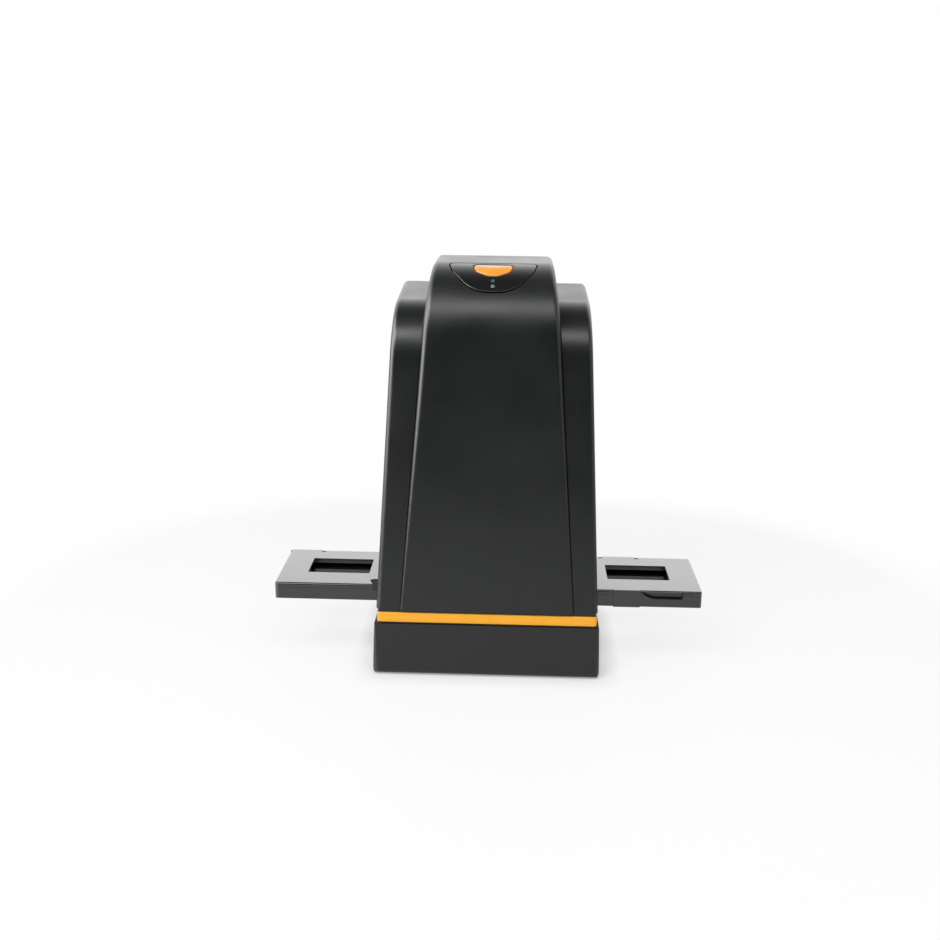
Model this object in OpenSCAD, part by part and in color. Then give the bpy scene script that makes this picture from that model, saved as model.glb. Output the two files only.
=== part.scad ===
// Desktop slide scanner. A hollow tower lights a 35 mm slide from below and photographs it
// from above, and a holder for four mounted slides passes through it from side to side.
// The front faces -Y, up is +Z, and the origin lies on the table under the tower's middle.
// All sizes are in millimetres and all angles in degrees.

/* [Tower] */
// Width of the base pan at its foot
base_w = 121.5; // [117:0.5:128]
// Depth of the base pan at its foot
base_d = 99.5; // [97:0.5:107]
// Height of the base pan's outer wall
base_h = 28.3; // [26:0.1:32]
// Inward draft of the base pan's side walls over their height
base_draft = 1.1; // [0.8:0.1:1.4]
// Radius of the base pan's upright corners
corner_r = 4; // [3.5:0.25:5]
// Radius along the base pan's bottom edge
bottom_edge_r = 2.6; // [2.5:0.1:3.5]
// Height of the coloured trim ring
trim_h = 6.4; // [5:0.1:8]
// Height of the shadow gap under and over the trim ring
shadow_gap = 0.6; // [0.4:0.1:1]
// Depth of the shadow gaps
shadow_depth = 1; // [0.6:0.1:1.2]
// Inset of the trim ring from the top of the base pan
trim_inset = 0.6; // [0.3:0.1:0.8]
// Height of the finished tower over the table
tower_h = 216.5; // [210:0.5:226]
// Height that the shoulders lie below the top of the centre cover
shoulder_drop = 14.5; // [12:0.5:17]
// Fall of the shoulders from back to front
shoulder_fall = 4; // [2:0.5:5]
// Wall thickness of the moulded casings
wall = 2.2; // [2:0.1:2.6]
// Thickness of the lips and flanges that seat behind another wall
lip_t = 1.3; // [1:0.1:1.5]

/* [Casing shape] */
// Inset of the casings from the base pan at their foot, at the sides
side_step = 1.8; // [1.5:0.1:2.2]
// Inset of the shoulders from the base pan at their foot, front and back
shoulder_step = 2; // [1.8:0.1:2.4]
// Inset of the centre cover from the base pan at its foot, front and back
cover_step = 1.1; // [1:0.1:1.4]
// Inward lean of the side walls
side_lean = 3; // [2.5:0.05:3.5]
// Backward lean of the shoulders' front
shoulder_lean = 3.2; // [2.8:0.1:3.6]
// Forward lean of the shoulders' back
shoulder_back_lean = 4.2; // [3.9:0.1:4.8]
// Backward lean of the centre cover's front
cover_lean = 2.4; // [2:0.1:2.7]
// Forward lean of the centre cover's back
cover_back_lean = 3.5; // [3.2:0.1:3.8]
// Radius from the shoulders' front to their top
shoulder_r = 28; // [24:0.5:32]
// Radius from the shoulders' top to their back
shoulder_back_r = 8; // [7:0.5:12]
// Radius from the centre cover's front to its top
cover_r = 35; // [33:0.5:38]
// Radius from the centre cover's top to its back
cover_back_r = 10; // [8:0.5:14]
// Width of each shoulder at its foot, from its outside to the centre cover
shoulder_w = 12.9; // [12.5:0.05:14]
// Inward lean of the centre cover's edges
cover_edge_lean = 4.25; // [3.9:0.05:4.4]
// Width of the seam between two casings
seam = 0.15; // [0.1:0.05:0.3]
// Depth that the cover's side skirts reach below the shoulders
skirt = 6; // [5:0.25:8]
// Height of the seam between the centre cover and the rear cover
rear_seam_z = 190.5; // [182:0.5:194]

/* [Slide holder] */
// Distance from one slide to the next
slide_pitch = 55; // [54:0.25:57]
// Number of slides in the holder
slide_count = 4; // [2:1:6]
// Length of a slide window, along the holder
window_l = 34; // [32:0.5:36]
// Width of a slide window, across the holder
window_w = 23; // [21:0.5:24]
// Size of the square pocket for a slide mount
pocket = 50.6; // [50.2:0.1:51]
// Depth of that pocket
pocket_depth = 3.7; // [3.2:0.1:4]
// Height of the rear part of that pocket, which the mount tucks into under the hinge
tuck_h = 2; // [1.8:0.1:2.2]
// Solid length beyond the outer pockets' pitch at each end
holder_end = 5; // [4:0.25:8]
// Width of the holder over its clasp
holder_w = 56; // [55.5:0.1:57]
// Thickness of the closed holder
holder_t = 9.2; // [8.6:0.1:10]
// Thickness of the holder's lid
lid_t = 2.6; // [2.4:0.1:3]
// Distance from the base pan's front back to the front of the holder
holder_inset = 12.75; // [12.25:0.25:13.75]
// Distance that the windows lie behind the holder's middle
window_back = 1.5; // [0.8:0.1:1.6]
// Gap under the holder, down to the casing's lower edge
holder_rise = 0.6; // [0.5:0.1:1.2]
// Radius of the holder's upright corners
holder_corner_r = 2.5; // [1.5:0.25:4]
// Radius along the lid's top edges
lid_edge_r = 1.2; // [0.8:0.1:1.6]
// Distance from the holder's left end to the finger ramp
ramp_inset = 51.3; // [46:0.1:56]
// Length of the finger ramp cut into the lid's front edge
ramp_l = 23; // [18:0.5:26]
// Distance that the finger ramp reaches back from the front edge
ramp_reach = 8.8; // [7:0.2:11]
// Depth of the finger ramp at the front edge
ramp_depth = 3.4; // [2.8:0.1:4]
// Length of the level floor of the thumb recess beside the clasp
recess_l = 14; // [10:0.5:18]
// Length of the curve that leads from the clasp down to that floor
recess_slope = 9; // [7:0.1:10]
// Height of that floor over the holder's underside
recess_floor = 4.7; // [4:0.1:5.5]
// Depth of the thumb recess into the holder's front
recess_depth = 2.4; // [1.5:0.1:2.6]
// Length of the clasp on the lid's front
clasp_l = 14.2; // [12:0.2:18]
// Distance from the clasp to the holder's right end
clasp_inset = 33.2; // [30:0.1:38]
// Distance that the clasp stands in front of the lid
clasp_proud = 0.6; // [0.4:0.1:0.8]
// Distance that the clasp stands above the lid
clasp_rise = 0.4; // [0.2:0.1:0.5]
// Distance between the hinge barrels of the lid
hinge_pitch = 60; // [59:0.5:61]
// Length of one hinge barrel
hinge_l = 18; // [16:0.5:20]
// Radius of a hinge barrel
hinge_r = 1.8; // [1.6:0.05:1.9]
// Radius of the hinge pins
hinge_pin_r = 0.8; // [0.7:0.05:0.9]

/* [Scan button] */
// Half width of the button panel
panel_half_w = 22.4; // [21:0.2:23]
// Length of the button panel up the slope
panel_l = 25.2; // [24:0.2:26]
// Half width of the scan button
button_half_w = 10.3; // [9.5:0.1:11]
// Length of the scan button up the slope
button_l = 12.2; // [11.6:0.1:12.8]
// Distance that the scan button stands proud of the panel
button_proud = 0.7; // [0.4:0.1:1.2]
// Travel of the scan button
button_travel = 0.8; // [0.5:0.1:1]
// Gap round the scan button
button_gap = 0.5; // [0.3:0.05:0.7]
// Gap round the button panel
panel_gap = 0.6; // [0.4:0.05:0.8]
// Radius of the power light's window
led_window_r = 0.9; // [0.7:0.05:1.1]

/* [Optics] */
// Thickness of the film gate's plates
gate_plate = 2.4; // [2:0.1:2.8]
// Distance from each side of the base pan to the film gate's end
gate_side_gap = 13; // [12.5:0.5:16]
// Length of the film gate's screw ears beyond its ends, to their screws
gate_ear = 4; // [3.5:0.25:4.5]
// Gap between the holder and the film gate
gate_gap = 0.3; // [0.25:0.05:0.5]
// Size of the light opening beyond the slide window, all round
gate_margin = 1; // [0.5:0.1:2]
// Height of the light tunnel over the film gate
tunnel_h = 103; // [96:0.5:106]
// Wall of the light tunnel
tunnel_wall = 1.6; // [1.2:0.1:2]
// Outer width of the square lens holder
lens_holder_w = 30; // [28:0.5:32]
// Height of the lens holder
lens_holder_h = 22; // [20:0.5:24]
// Radius of the lens barrel
lens_r = 7; // [6:0.1:8]
// Thickness of the circuit boards
board_t = 1.6; // [1.2:0.1:2]
// Gap between each edge of the main board and the skirt beside it
board_side_gap = 6.1; // [4:0.1:8]
// Gap between the main board and the rear cover, at the board's top
board_back_gap = 3; // [2:0.1:5]
// Height of the main board
main_board_h = 102; // [96:0.5:108]
// Thickness of the flat cables
ribbon_t = 0.3; // [0.2:0.05:0.5]

/* [Fasteners and feet] */
// Radius of the casing screws' shanks
screw_r = 1.45; // [1.2:0.05:1.6]
// Radius of the casing screws' heads
screw_head_r = 2.7; // [2.4:0.05:2.8]
// Radius of the bosses that take the casing screws
boss_r = 3.9; // [3.7:0.05:4]
// Radial clearance of a shank in its hole
screw_fit = 0.05; // [0.05:0.01:0.1]
// Radius of the small screws' shanks
small_screw_r = 1; // [0.8:0.05:1.1]
// Radius of the rubber feet
foot_r = 6; // [5:0.25:7]
// Height that the rubber feet hold the base pan off the table
foot_stand = 0.8; // [0.6:0.1:1.5]
// Depth that the rubber feet sit in the base pan
foot_seat = 1; // [0.8:0.1:1.2]

/* [Hidden] */
$fn = 64;
far = 400; // longer than anything here

seat_fit = 0.05; // between a lip and the wall that it seats behind

// Levels, from the table up
pan_z = foot_stand;
pan_top = pan_z + base_h;
trim_z = pan_top + shadow_gap;
trim_top = trim_z + trim_h;
body_z = trim_top + shadow_gap;
shoulder_h = tower_h - shoulder_drop;
floor_t = 2.4;
floor_z = pan_z + floor_t;

// Centre cover
cover_foot_w = base_w - 2 * (side_step + shoulder_w);
cover_front_y = -(base_d / 2 - cover_step);
cover_back_y = base_d / 2 - cover_step;
skirt_t = 1.8;

// Half width of the centre cover at level z
function cover_half(z) = cover_foot_w / 2 - (z - body_z) * tan(cover_edge_lean);

// Casing screws, one in each corner
screw_side_inset = 9.2;
screw_end_inset = 8.2;
screw_x = base_w / 2 - screw_side_inset;
screw_y = base_d / 2 - screw_end_inset;
CORNERS = [for (x = [-1, 1], y = [-1, 1]) [x * screw_x, y * screw_y]];
screw_head_z = pan_z + 8;
screw_head_t = 2.2;
screw_bite = 20;

// Slide holder
holder_l = slide_count * slide_pitch + 2 * holder_end;
holder_z = body_z + holder_rise;
holder_top = holder_z + holder_t;
holder_front = holder_inset - base_d / 2;
holder_back = holder_front + holder_w;
holder_y = holder_front + holder_w / 2;
lid_front = holder_front + clasp_proud;
lid_z = holder_top - lid_t;
lid_seam = 0.1;
window_y = holder_y + window_back;
SLIDES = [for (i = [0 : slide_count - 1]) (i - (slide_count - 1) / 2) * slide_pitch];
hinge_y = holder_back - hinge_r;
hinge_z = holder_top - hinge_r;
HINGES = [for (i = [0 : floor((holder_l - hinge_l) / hinge_pitch)])
    -holder_l / 2 + hinge_l / 2 + i * hinge_pitch];
barrel_gap = 0.2;
hinge_ear_t = 2;
// Hinge ears, as [place, side], one at each end of each barrel and inside the holder's ends
EARS_X = [for (x = HINGES, s = [-1, 1])
    let (e = x + s * (hinge_l / 2 + barrel_gap)) if (abs(e) < holder_l / 2 - hinge_ear_t) [e, s]];
ramp_x = -holder_l / 2 + ramp_inset;
clasp_x = holder_l / 2 - clasp_inset - clasp_l;

// Openings for the holder in the casings
slot_gap = 0.6;
slot_top = holder_top + clasp_rise + slot_gap;

// Film gate, in the tower's base
gate_z = holder_z - gate_gap - gate_plate;
gate_front = holder_front - gate_gap - gate_plate;
gate_back = holder_back + gate_gap + gate_plate;
gate_roof = holder_top + clasp_rise + gate_gap;
gate_top = gate_roof + gate_plate;
gate_l = base_w - 2 * gate_side_gap;
ear_x = gate_l / 2 + gate_ear;
ear_y = 20;
ear_t = 2.4;
ear_r = 3.5;
ear_z = gate_z - ear_t + gate_gap;
EARS = [for (x = [-1, 1], y = [-1, 1]) [x * ear_x, holder_y + y * ear_y]];

// Detent between the film gate and the holder
notch_r = 3.5;
notch_h = 2.4;
detent_z = holder_z + gate_gap;
detent_h = 1.8;
detent_hole_x = 11;
detent_stake_r = 0.6;

// Backlight
diffuser_t = 2;
diffuser_gap = 0.2;
light_box_top = gate_z - diffuser_gap - diffuser_t;
light_box_l = window_l + 14;
light_box_w = window_w + 13;
led_board_z = floor_z + 2;

// Lens and sensor
tunnel_flange_t = 2.5;
tunnel_top = gate_top + tunnel_h;
tunnel_neck = lens_holder_w - 3;
lens_box_top = tunnel_top + lens_holder_h;
lens_seat_h = 14;
sensor_t = 1.4;
sensor_board_w = lens_holder_w + 4;

// Main board, behind the film gate
board_rise = 5;
board_z = body_z + board_rise;
board_top = board_z + main_board_h;
board_y = cover_back_y - (board_top - body_z) * tan(cover_back_lean) - wall / cos(cover_back_lean)
    - board_back_gap - board_t;
main_board_w = 2 * (cover_half(board_top) - skirt_t - board_side_gap);
board_hole_inset = [4, 8];
BOARD_HOLES = [for (x = [-1, 1], z = [board_z + board_hole_inset.y, board_top - board_hole_inset.y])
    [x * (main_board_w / 2 - board_hole_inset.x), z]];
board_bite = 3.6;
usb_w = 7.7;
usb_h = 3.9;
usb_rise = 5;
usb_z = board_z + usb_rise;

// Sockets on the main board's front that the flat cables plug into
ribbon_y = board_y - 1.4;
sensor_ribbon_w = 12;
light_ribbon_w = 6;
ribbon_socket = [sensor_ribbon_w + 4, 2.6, 5];
sensor_socket_z = board_top - 16;
light_socket_z = board_z + 14;

// Size of the switch under the scan button
switch_w = 6;
switch_h = 3.4;
plunger_r = 1.6;
plunger_rise = button_travel + 0.15;

// Curve of the centre cover, which the button panel follows
curve_z = tower_h - cover_r;
curve_y = cover_front_y + (curve_z - body_z) * tan(cover_lean) + cover_r / cos(cover_lean);

// Slopes on that curve: the panel's middle, the button's middle and the power light
panel_tilt = 28;
button_tilt = 23.5;
led_tilt = 37.5;
button_board_depth = 11;
board_down = cover_r * sin(led_tilt - button_tilt);

// A direction square to the line from disc a to disc b on their outer side, for discs [y, z, radius]
function outer_normal(a, b) =
    let (
        run = b.x - a.x,
        rise = b.y - a.y,
        len = norm([run, rise]),
        s = (a[2] - b[2]) / len,
        c = sqrt(1 - s * s)
    )
    [run / len * s + rise / len * c, rise / len * s - run / len * c];

// The two points where the outer tangent of discs a and b touches them
function tangent(a, b) =
    let (n = outer_normal(a, b))
    [[a.x + a[2] * n.x, a.y + a[2] * n.y], [b.x + b[2] * n.x, b.y + b[2] * n.y]];

// Whether entry i of a list appears in it there for the first time
function is_first(list, i) = len([for (j = [0 : 1 : i - 1]) if (list[j] == list[i]) j]) == 0;

// The outline that a belt makes round discs listed anticlockwise, drawn in by inset.
// The straight runs lie a hair inside the true tangents, so that they cross the arcs cleanly.
module belt(discs, inset = 0) {
    hair = 0.001;
    drawn = [for (d = discs) [d.x, d.y, d[2] - inset - hair]];
    last = len(drawn) - 1;
    polygon([for (i = [0 : last]) each tangent(drawn[i], drawn[i == last ? 0 : i + 1])]);
    for (i = [0 : last]) if (is_first(drawn, i))
        translate([drawn[i].x, drawn[i].y]) circle(r = drawn[i][2] + hair);
}

// A rectangle about the origin with round corners
module round_rect(size, r) {
    x = size.x / 2 - r;
    y = size.y / 2 - r;
    belt([[-x, -y, r], [x, -y, r], [x, y, r], [-x, y, r]]);
}

// A side-view outline, drawn in Y and Z, made solid from side to side
module across(width = far) {
    rotate([90, 0, 90]) linear_extrude(width, center = true) children();
}

// A front-view outline, drawn in X and Z, made solid from front to back
module through(depth = far) {
    rotate([90, 0, 0]) linear_extrude(depth, center = true) children();
}

// A box given by its two corners
module block(low, high) {
    translate(low) cube(high - low);
}

// ---- Casing outlines ----

// Four discs of a side view: leaning front and back, a top that falls forward by fall
function tower_discs(front, back, front_r, back_r, front_lean, back_lean, top, fall) =
    let (
        fz = top - fall - front_r,
        bz = top - back_r,
        fy = front + (fz - body_z) * tan(front_lean) + front_r / cos(front_lean),
        by = back - (bz - body_z) * tan(back_lean) - back_r / cos(back_lean),
        low = -2 * front_r
    )
    [
        [fy - (fz - low) * tan(front_lean), low, front_r],
        [by + (bz - low) * tan(back_lean), low, back_r],
        [by, bz, back_r],
        [fy, fz, front_r]
    ];

SHOULDER = tower_discs(-(base_d / 2 - shoulder_step), base_d / 2 - shoulder_step, shoulder_r,
    shoulder_back_r, shoulder_lean, shoulder_back_lean, shoulder_h, shoulder_fall);
COVER = tower_discs(cover_front_y, cover_back_y, cover_r, cover_back_r,
    cover_lean, cover_back_lean, tower_h, 0);

// Front view of a tapering piece of this width at the casing's foot, from level low up
module taper(foot_w, lean, low = body_z, inset = 0) {
    top = tower_h + 10;
    half = foot_w / 2 - inset / cos(lean);
    at_low = half - (low - body_z) * tan(lean);
    at_top = half - (top - body_z) * tan(lean);
    polygon([[-at_low, low], [at_low, low], [at_top, top], [-at_top, top]]);
}

// Solid form of the two shoulders, drawn in by inset
module shoulder_form(inset = 0, low = body_z) {
    intersection() {
        across() belt(SHOULDER, inset);
        through() taper(base_w - 2 * side_step, side_lean, low, inset);
    }
}

// Everything inside the edges of the centre cover, widened by grow on each side
module cover_zone(grow = 0, low = body_z) {
    through() taper(cover_foot_w, cover_edge_lean, low, -grow);
}

// Solid form of the centre cover, drawn in by inset
module cover_form(inset = 0, low = body_z) {
    intersection() {
        across() belt(COVER, inset);
        cover_zone(-inset, low);
    }
}

// ---- Base ----

// Outer form of the base pan
module pan_form(inset = 0) {
    low = pan_z + bottom_edge_r;
    high = pan_top + 20;
    side = base_w / 2 - bottom_edge_r;
    end = base_d / 2 - bottom_edge_r;
    draft = base_draft * (high - low) / base_h;
    intersection() {
        translate([0, 0, pan_z]) linear_extrude(base_h) round_rect([base_w - 2 * inset, base_d - 2 * inset],
            corner_r - inset);
        across() belt([[-end, low, bottom_edge_r], [end, low, bottom_edge_r],
            [end - draft, high, bottom_edge_r], [-end + draft, high, bottom_edge_r]], inset);
        through() belt([[-side, low, bottom_edge_r], [side, low, bottom_edge_r],
            [side - draft, high, bottom_edge_r], [-side + draft, high, bottom_edge_r]], inset);
    }
}

// Plan of the trim ring and of the lips beside it, drawn in by inset
module ring_plan(inset) {
    offset_w = base_w - 2 * base_draft - 2 * inset;
    offset_d = base_d - 2 * base_draft - 2 * inset;
    round_rect([offset_w, offset_d], corner_r - base_draft - min(inset, 2));
}

module base_pan() {
    post_r = 3.2;
    rib_t = 1.6;
    rib_rise = 3;
    shank_gap = 0.25;
    light_room = floor_z + 9;
    color("#2c2c2e")
    difference() {
        union() {
            difference() {
                pan_form();
                translate([0, 0, floor_z]) linear_extrude(base_h) ring_plan(wall);
            }
            // lip that carries the trim ring and leaves the shadow gap outside it
            translate([0, 0, floor_z]) linear_extrude(trim_z - floor_z) difference() {
                ring_plan(shadow_depth);
                ring_plan(wall);
            }
            for (p = CORNERS) translate([p.x, p.y, pan_z]) cylinder(r = boss_r, h = body_z - pan_z);
            for (p = EARS) translate([p.x, p.y, pan_z]) cylinder(r = post_r, h = ear_z - pan_z);
            // ribs that stiffen the floor between the posts
            for (y = [-ear_y, ear_y]) block([-ear_x, holder_y + y - rib_t / 2, pan_z + 1],
                [ear_x, holder_y + y + rib_t / 2, floor_z + rib_rise]);
        }
        for (p = CORNERS) translate([p.x, p.y, 0]) {
            cylinder(r = screw_head_r + 0.4, h = screw_head_z);
            cylinder(r = screw_r + shank_gap, h = body_z + 1);
        }
        for (p = EARS) translate([p.x, p.y, floor_z + rib_rise + 1])
            cylinder(r = small_screw_r + screw_fit, h = base_h);
        for (p = feet_places()) translate([p.x, p.y, pan_z - 1])
            cylinder(r = foot_r + 0.2, h = 1 + foot_seat);
        // room for the lower part of the backlight
        block([-light_box_l / 2 - gate_gap, window_y - light_box_w / 2 - gate_gap, floor_z],
            [light_box_l / 2 + gate_gap, window_y + light_box_w / 2 + gate_gap, light_room]);
        block([-light_ribbon_w / 2 - 1, window_y, floor_z], [light_ribbon_w / 2 + 1, board_y, light_room]);
    }
}

// Middles of the rubber feet, beside the screws' bosses
function feet_places() =
    let (x = screw_x - boss_r - foot_r - 3, y = screw_y - 1.5)
    [for (sx = [-1, 1], sy = [-1, 1]) [sx * x, sy * y]];

module rubber_feet() {
    bevel = 0.5;
    color("#161616")
    for (p = feet_places()) translate([p.x, p.y, 0]) {
        cylinder(r1 = foot_r - bevel, r2 = foot_r, h = bevel);
        translate([0, 0, bevel]) cylinder(r = foot_r, h = pan_z + foot_seat - bevel);
    }
}

// A pan-head screw, its head's underside at the origin and its point up
module screw(r, length, head_r, head_t) {
    difference() {
        union() {
            translate([0, 0, -head_t]) cylinder(r = head_r, h = head_t);
            cylinder(r = r, h = length - r);
            translate([0, 0, length - r]) cylinder(r1 = r, r2 = 0.3, h = r);
        }
        // cross recess
        for (a = [0, 90]) rotate(a) translate([-head_r * 0.55, -head_r * 0.12, -head_t - 1])
            cube([head_r * 1.1, head_r * 0.24, 1 + head_t * 0.5]);
    }
}

module base_screws() {
    color("#8a8d90")
    for (p = CORNERS) translate([p.x, p.y, screw_head_z])
        screw(screw_r, body_z - screw_head_z + screw_bite - 3, screw_head_r, screw_head_t);
}

module trim_ring() {
    seat_in = 0.4;
    color("#f6a11f")
    translate([0, 0, trim_z]) {
        linear_extrude(trim_h) difference() {
            ring_plan(trim_inset);
            ring_plan(wall + seat_in);
        }
        // lip that carries the casings and leaves the shadow gap outside it
        translate([0, 0, trim_h / 2]) linear_extrude(trim_h / 2 + shadow_gap - 0.02) difference() {
            ring_plan(shadow_depth + side_step - base_draft);
            ring_plan(wall + seat_in);
        }
    }
}

// ---- Casings ----

// The way of the slide holder through the casings
module holder_slot() {
    block([-far, holder_front - slot_gap, body_z - 1], [far, holder_back + slot_gap, slot_top]);
}

// One side casing: cheek, shoulder and the return along the centre cover. Side is -1 or 1.
module side_casing(side) {
    return_t = 1.6;
    web_t = 1.6;
    reach = screw_side_inset;
    color("#262628")
    difference() {
        union() {
            difference() {
                shoulder_form();
                shoulder_form(wall, body_z - 1);
                cover_zone(seam, body_z - 1);
            }
            // return that stiffens the edge beside the cover
            difference() {
                intersection() {
                    shoulder_form();
                    cover_zone(seam + return_t);
                }
                cover_zone(seam, body_z - 1);
                across() belt(SHOULDER, skirt);
            }
            // bosses for the casing screws, each tied to the wall by a web
            for (y = [-1, 1]) intersection() {
                shoulder_form(wall / 2);
                translate([side * screw_x, y * screw_y, body_z]) {
                    cylinder(r = boss_r, h = screw_bite);
                    block([min(0, side * reach), -web_t / 2, 0],
                        [max(0, side * reach), web_t / 2, screw_bite]);
                    block([-web_t / 2, min(0, y * reach), 0],
                        [web_t / 2, max(0, y * reach), screw_bite]);
                }
            }
        }
        // keep this side alone
        block([min(0, -side * far), -far, -far], [max(0, -side * far), far, far]);
        holder_slot();
        for (y = [-1, 1]) translate([side * screw_x, y * screw_y, body_z - 1])
            cylinder(r = screw_r + screw_fit, h = screw_bite - 1);
    }
}

module left_casing() {
    side_casing(-1);
}

module right_casing() {
    side_casing(1);
}

// The centre cover's whole loop, front, top and back: a skin with a skirt along each edge
module cover_loop() {
    difference() {
        cover_form();
        across() belt(COVER, wall);
    }
    difference() {
        cover_form();
        cover_zone(-skirt_t, body_z - 1);
        across() belt(SHOULDER, skirt);
    }
}

// The space behind and below the seam with the rear cover
module rear_space(top) {
    block([-far, base_d / 4, -far], [far, far, top]);
}

module centre_cover() {
    color("#262628")
    difference() {
        cover_loop();
        rear_space(rear_seam_z + seam);
        on_curve(panel_tilt) linear_extrude(2 * cover_r) panel_plan(panel_gap);
        holder_slot();
    }
}

module rear_cover() {
    boss = 3;
    lip_h = 4;
    rooted = wall - 0.4;
    sunk = [usb_w / 2 + 3, usb_h / 2 + 2.4];
    color("#262628")
    difference() {
        union() {
            intersection() {
                cover_loop();
                rear_space(rear_seam_z);
            }
            // lip that tucks behind the centre cover, and its root
            intersection() {
                difference() {
                    across() belt(COVER, wall + seat_fit);
                    across() belt(COVER, wall + lip_t);
                }
                cover_zone(-lip_h);
                block([-far, base_d / 4 + lip_h, rear_seam_z - lip_h], [far, far, rear_seam_z + lip_h]);
            }
            intersection() {
                difference() {
                    across() belt(COVER, rooted);
                    across() belt(COVER, wall + lip_t);
                }
                cover_zone(-lip_h);
                block([-far, base_d / 4 + lip_h, rear_seam_z - lip_h], [far, far, rear_seam_z - 0.4]);
            }
            // pillars that carry the main board
            intersection() {
                cover_form(wall / 2);
                for (p = BOARD_HOLES) translate([p.x, board_y + board_t, p.y]) rotate([-90, 0, 0])
                    cylinder(r = boss, h = base_d);
            }
        }
        for (p = BOARD_HOLES) translate([p.x, board_y, p.y]) rotate([-90, 0, 0])
            cylinder(r = small_screw_r + screw_fit, h = board_t + board_bite + 0.4);
        // window for the cable socket, with a sunk surround
        through() translate([0, usb_z]) square([usb_w + 1.2, usb_h + 1.2], center = true);
        intersection() {
            block([-sunk.x, base_d / 4, usb_z - sunk.y], [sunk.x, far, usb_z + sunk.y]);
            difference() {
                cover_form(-1);
                cover_form(0.8);
            }
        }
        holder_slot();
    }
}

// ---- Scan button and its panel ----

// Puts children on the cover's curve, at this slope, with Z square to the surface and Y up the slope.
// Z is 0 on the curve's axis and cover_r on the surface.
module on_curve(tilt) {
    translate([0, curve_y, curve_z]) rotate([tilt, 0, 0]) children();
}

// Outline of the button panel, seen square to its middle: full sides and a round bottom
module panel_plan(grow = 0) {
    corner = 3;
    low_r = 16;
    low_x = 2.7;
    side_r = 4.8;
    side_y = 2.4;
    top = panel_l / 2 - corner;
    low = -panel_l / 2 + low_r;
    side_x = panel_half_w - 0.8 - side_r;
    belt([
        [-low_x, low, low_r],
        [low_x, low, low_r],
        [side_x, side_y, side_r],
        [panel_half_w - corner, top, corner],
        [-panel_half_w + corner, top, corner],
        [-side_x, side_y, side_r]
    ], -grow);
}

// Outline of the scan button, seen square to its slope: a flat top, round corners and a bowl below
module button_plan(grow = 0) {
    corner = 2.8;
    bowl_x = 2.4;
    middle = 0.6;
    corner_x = button_half_w - corner;
    corner_y = middle + button_l / 2 - corner - 0.2;
    belt([
        [-bowl_x, middle, button_l / 2],
        [bowl_x, middle, button_l / 2],
        [corner_x, corner_y, corner],
        [-corner_x, corner_y, corner]
    ], -grow);
}

module button_panel() {
    flange = 1.6;
    color("#1f1f21")
    difference() {
        union() {
            intersection() {
                difference() {
                    across() belt(COVER);
                    across() belt(COVER, wall);
                }
                on_curve(panel_tilt) linear_extrude(2 * cover_r) panel_plan();
            }
            // flange that seats under the cover, between its skirts
            intersection() {
                difference() {
                    across() belt(COVER, wall - 0.4);
                    across() belt(COVER, wall + lip_t);
                }
                on_curve(panel_tilt) linear_extrude(2 * cover_r) panel_plan();
            }
            intersection() {
                difference() {
                    across() belt(COVER, wall + seat_fit);
                    across() belt(COVER, wall + lip_t);
                }
                on_curve(panel_tilt) linear_extrude(2 * cover_r) panel_plan(panel_gap + flange);
                cover_zone(-skirt_t - seat_fit);
            }
            // pillars that carry the button board
            intersection() {
                across() belt(COVER, wall / 2);
                on_curve(button_tilt) for (p = button_board_holes()) translate([p.x, p.y, button_board_top()])
                    cylinder(r = 2.4, h = cover_r);
            }
        }
        on_curve(button_tilt) {
            linear_extrude(2 * cover_r) button_plan(button_gap);
            // room for the button's flange behind the panel
            linear_extrude(cover_r - wall + 0.01) button_plan(button_gap + 1.2);
            translate([0, -board_down, 0]) cylinder(r = led_window_r + 0.05, h = 2 * cover_r);
            for (p = button_board_holes()) translate([p.x, p.y, button_board_top() - 1])
                cylinder(r = small_screw_r + screw_fit, h = 6);
        }
    }
}

// Height of the button board's upper face over the curve's axis, square to the button
function button_board_top() = cover_r - button_board_depth + board_t;

function button_board_holes() = [for (x = [-1, 1]) [x * (button_half_w + 6.2), -2]];

module led_window() {
    color("#e8f0f0")
    intersection() {
        across() belt(COVER);
        on_curve(button_tilt) translate([0, -board_down, button_board_top() + 1.1]) {
            cylinder(r = led_window_r, h = cover_r);
            cylinder(r = led_window_r + 0.6, h = button_board_depth - board_t - wall - 6.4);
        }
    }
}

module button_board() {
    width = 2 * button_half_w + 20;
    up = 8;
    down = board_down + 3;
    color("#1d5a32")
    on_curve(button_tilt) difference() {
        translate([-width / 2, -down, button_board_top() - board_t]) cube([width, up + down, board_t]);
        for (p = button_board_holes()) translate([p.x, p.y, 0])
            cylinder(r = small_screw_r + 0.2, h = cover_r);
    }
}

module button_board_screws() {
    color("#8a8d90")
    on_curve(button_tilt) for (p = button_board_holes()) translate([p.x, p.y, button_board_top() - board_t])
        screw(small_screw_r, board_t + 4, 1.9, 1.3);
}

module tact_switch() {
    color("#303236")
    on_curve(button_tilt) translate([0, 0, button_board_top()]) difference() {
        translate([-switch_w / 2, -switch_w / 2, 0]) cube([switch_w, switch_w, switch_h]);
        translate([0, 0, switch_h - button_travel - 0.6]) cylinder(r = plunger_r + 0.08, h = switch_h);
    }
}

module switch_plunger() {
    color("#c8c8c8")
    on_curve(button_tilt) translate([0, 0, button_board_top() + switch_h - 0.4])
        cylinder(r = plunger_r, h = 0.4 + plunger_rise);
}

module power_led() {
    color("#f2f2e8")
    on_curve(button_tilt) translate([-1.6, -board_down - 0.8, button_board_top()]) cube([3.2, 1.6, 0.8]);
}

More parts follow.
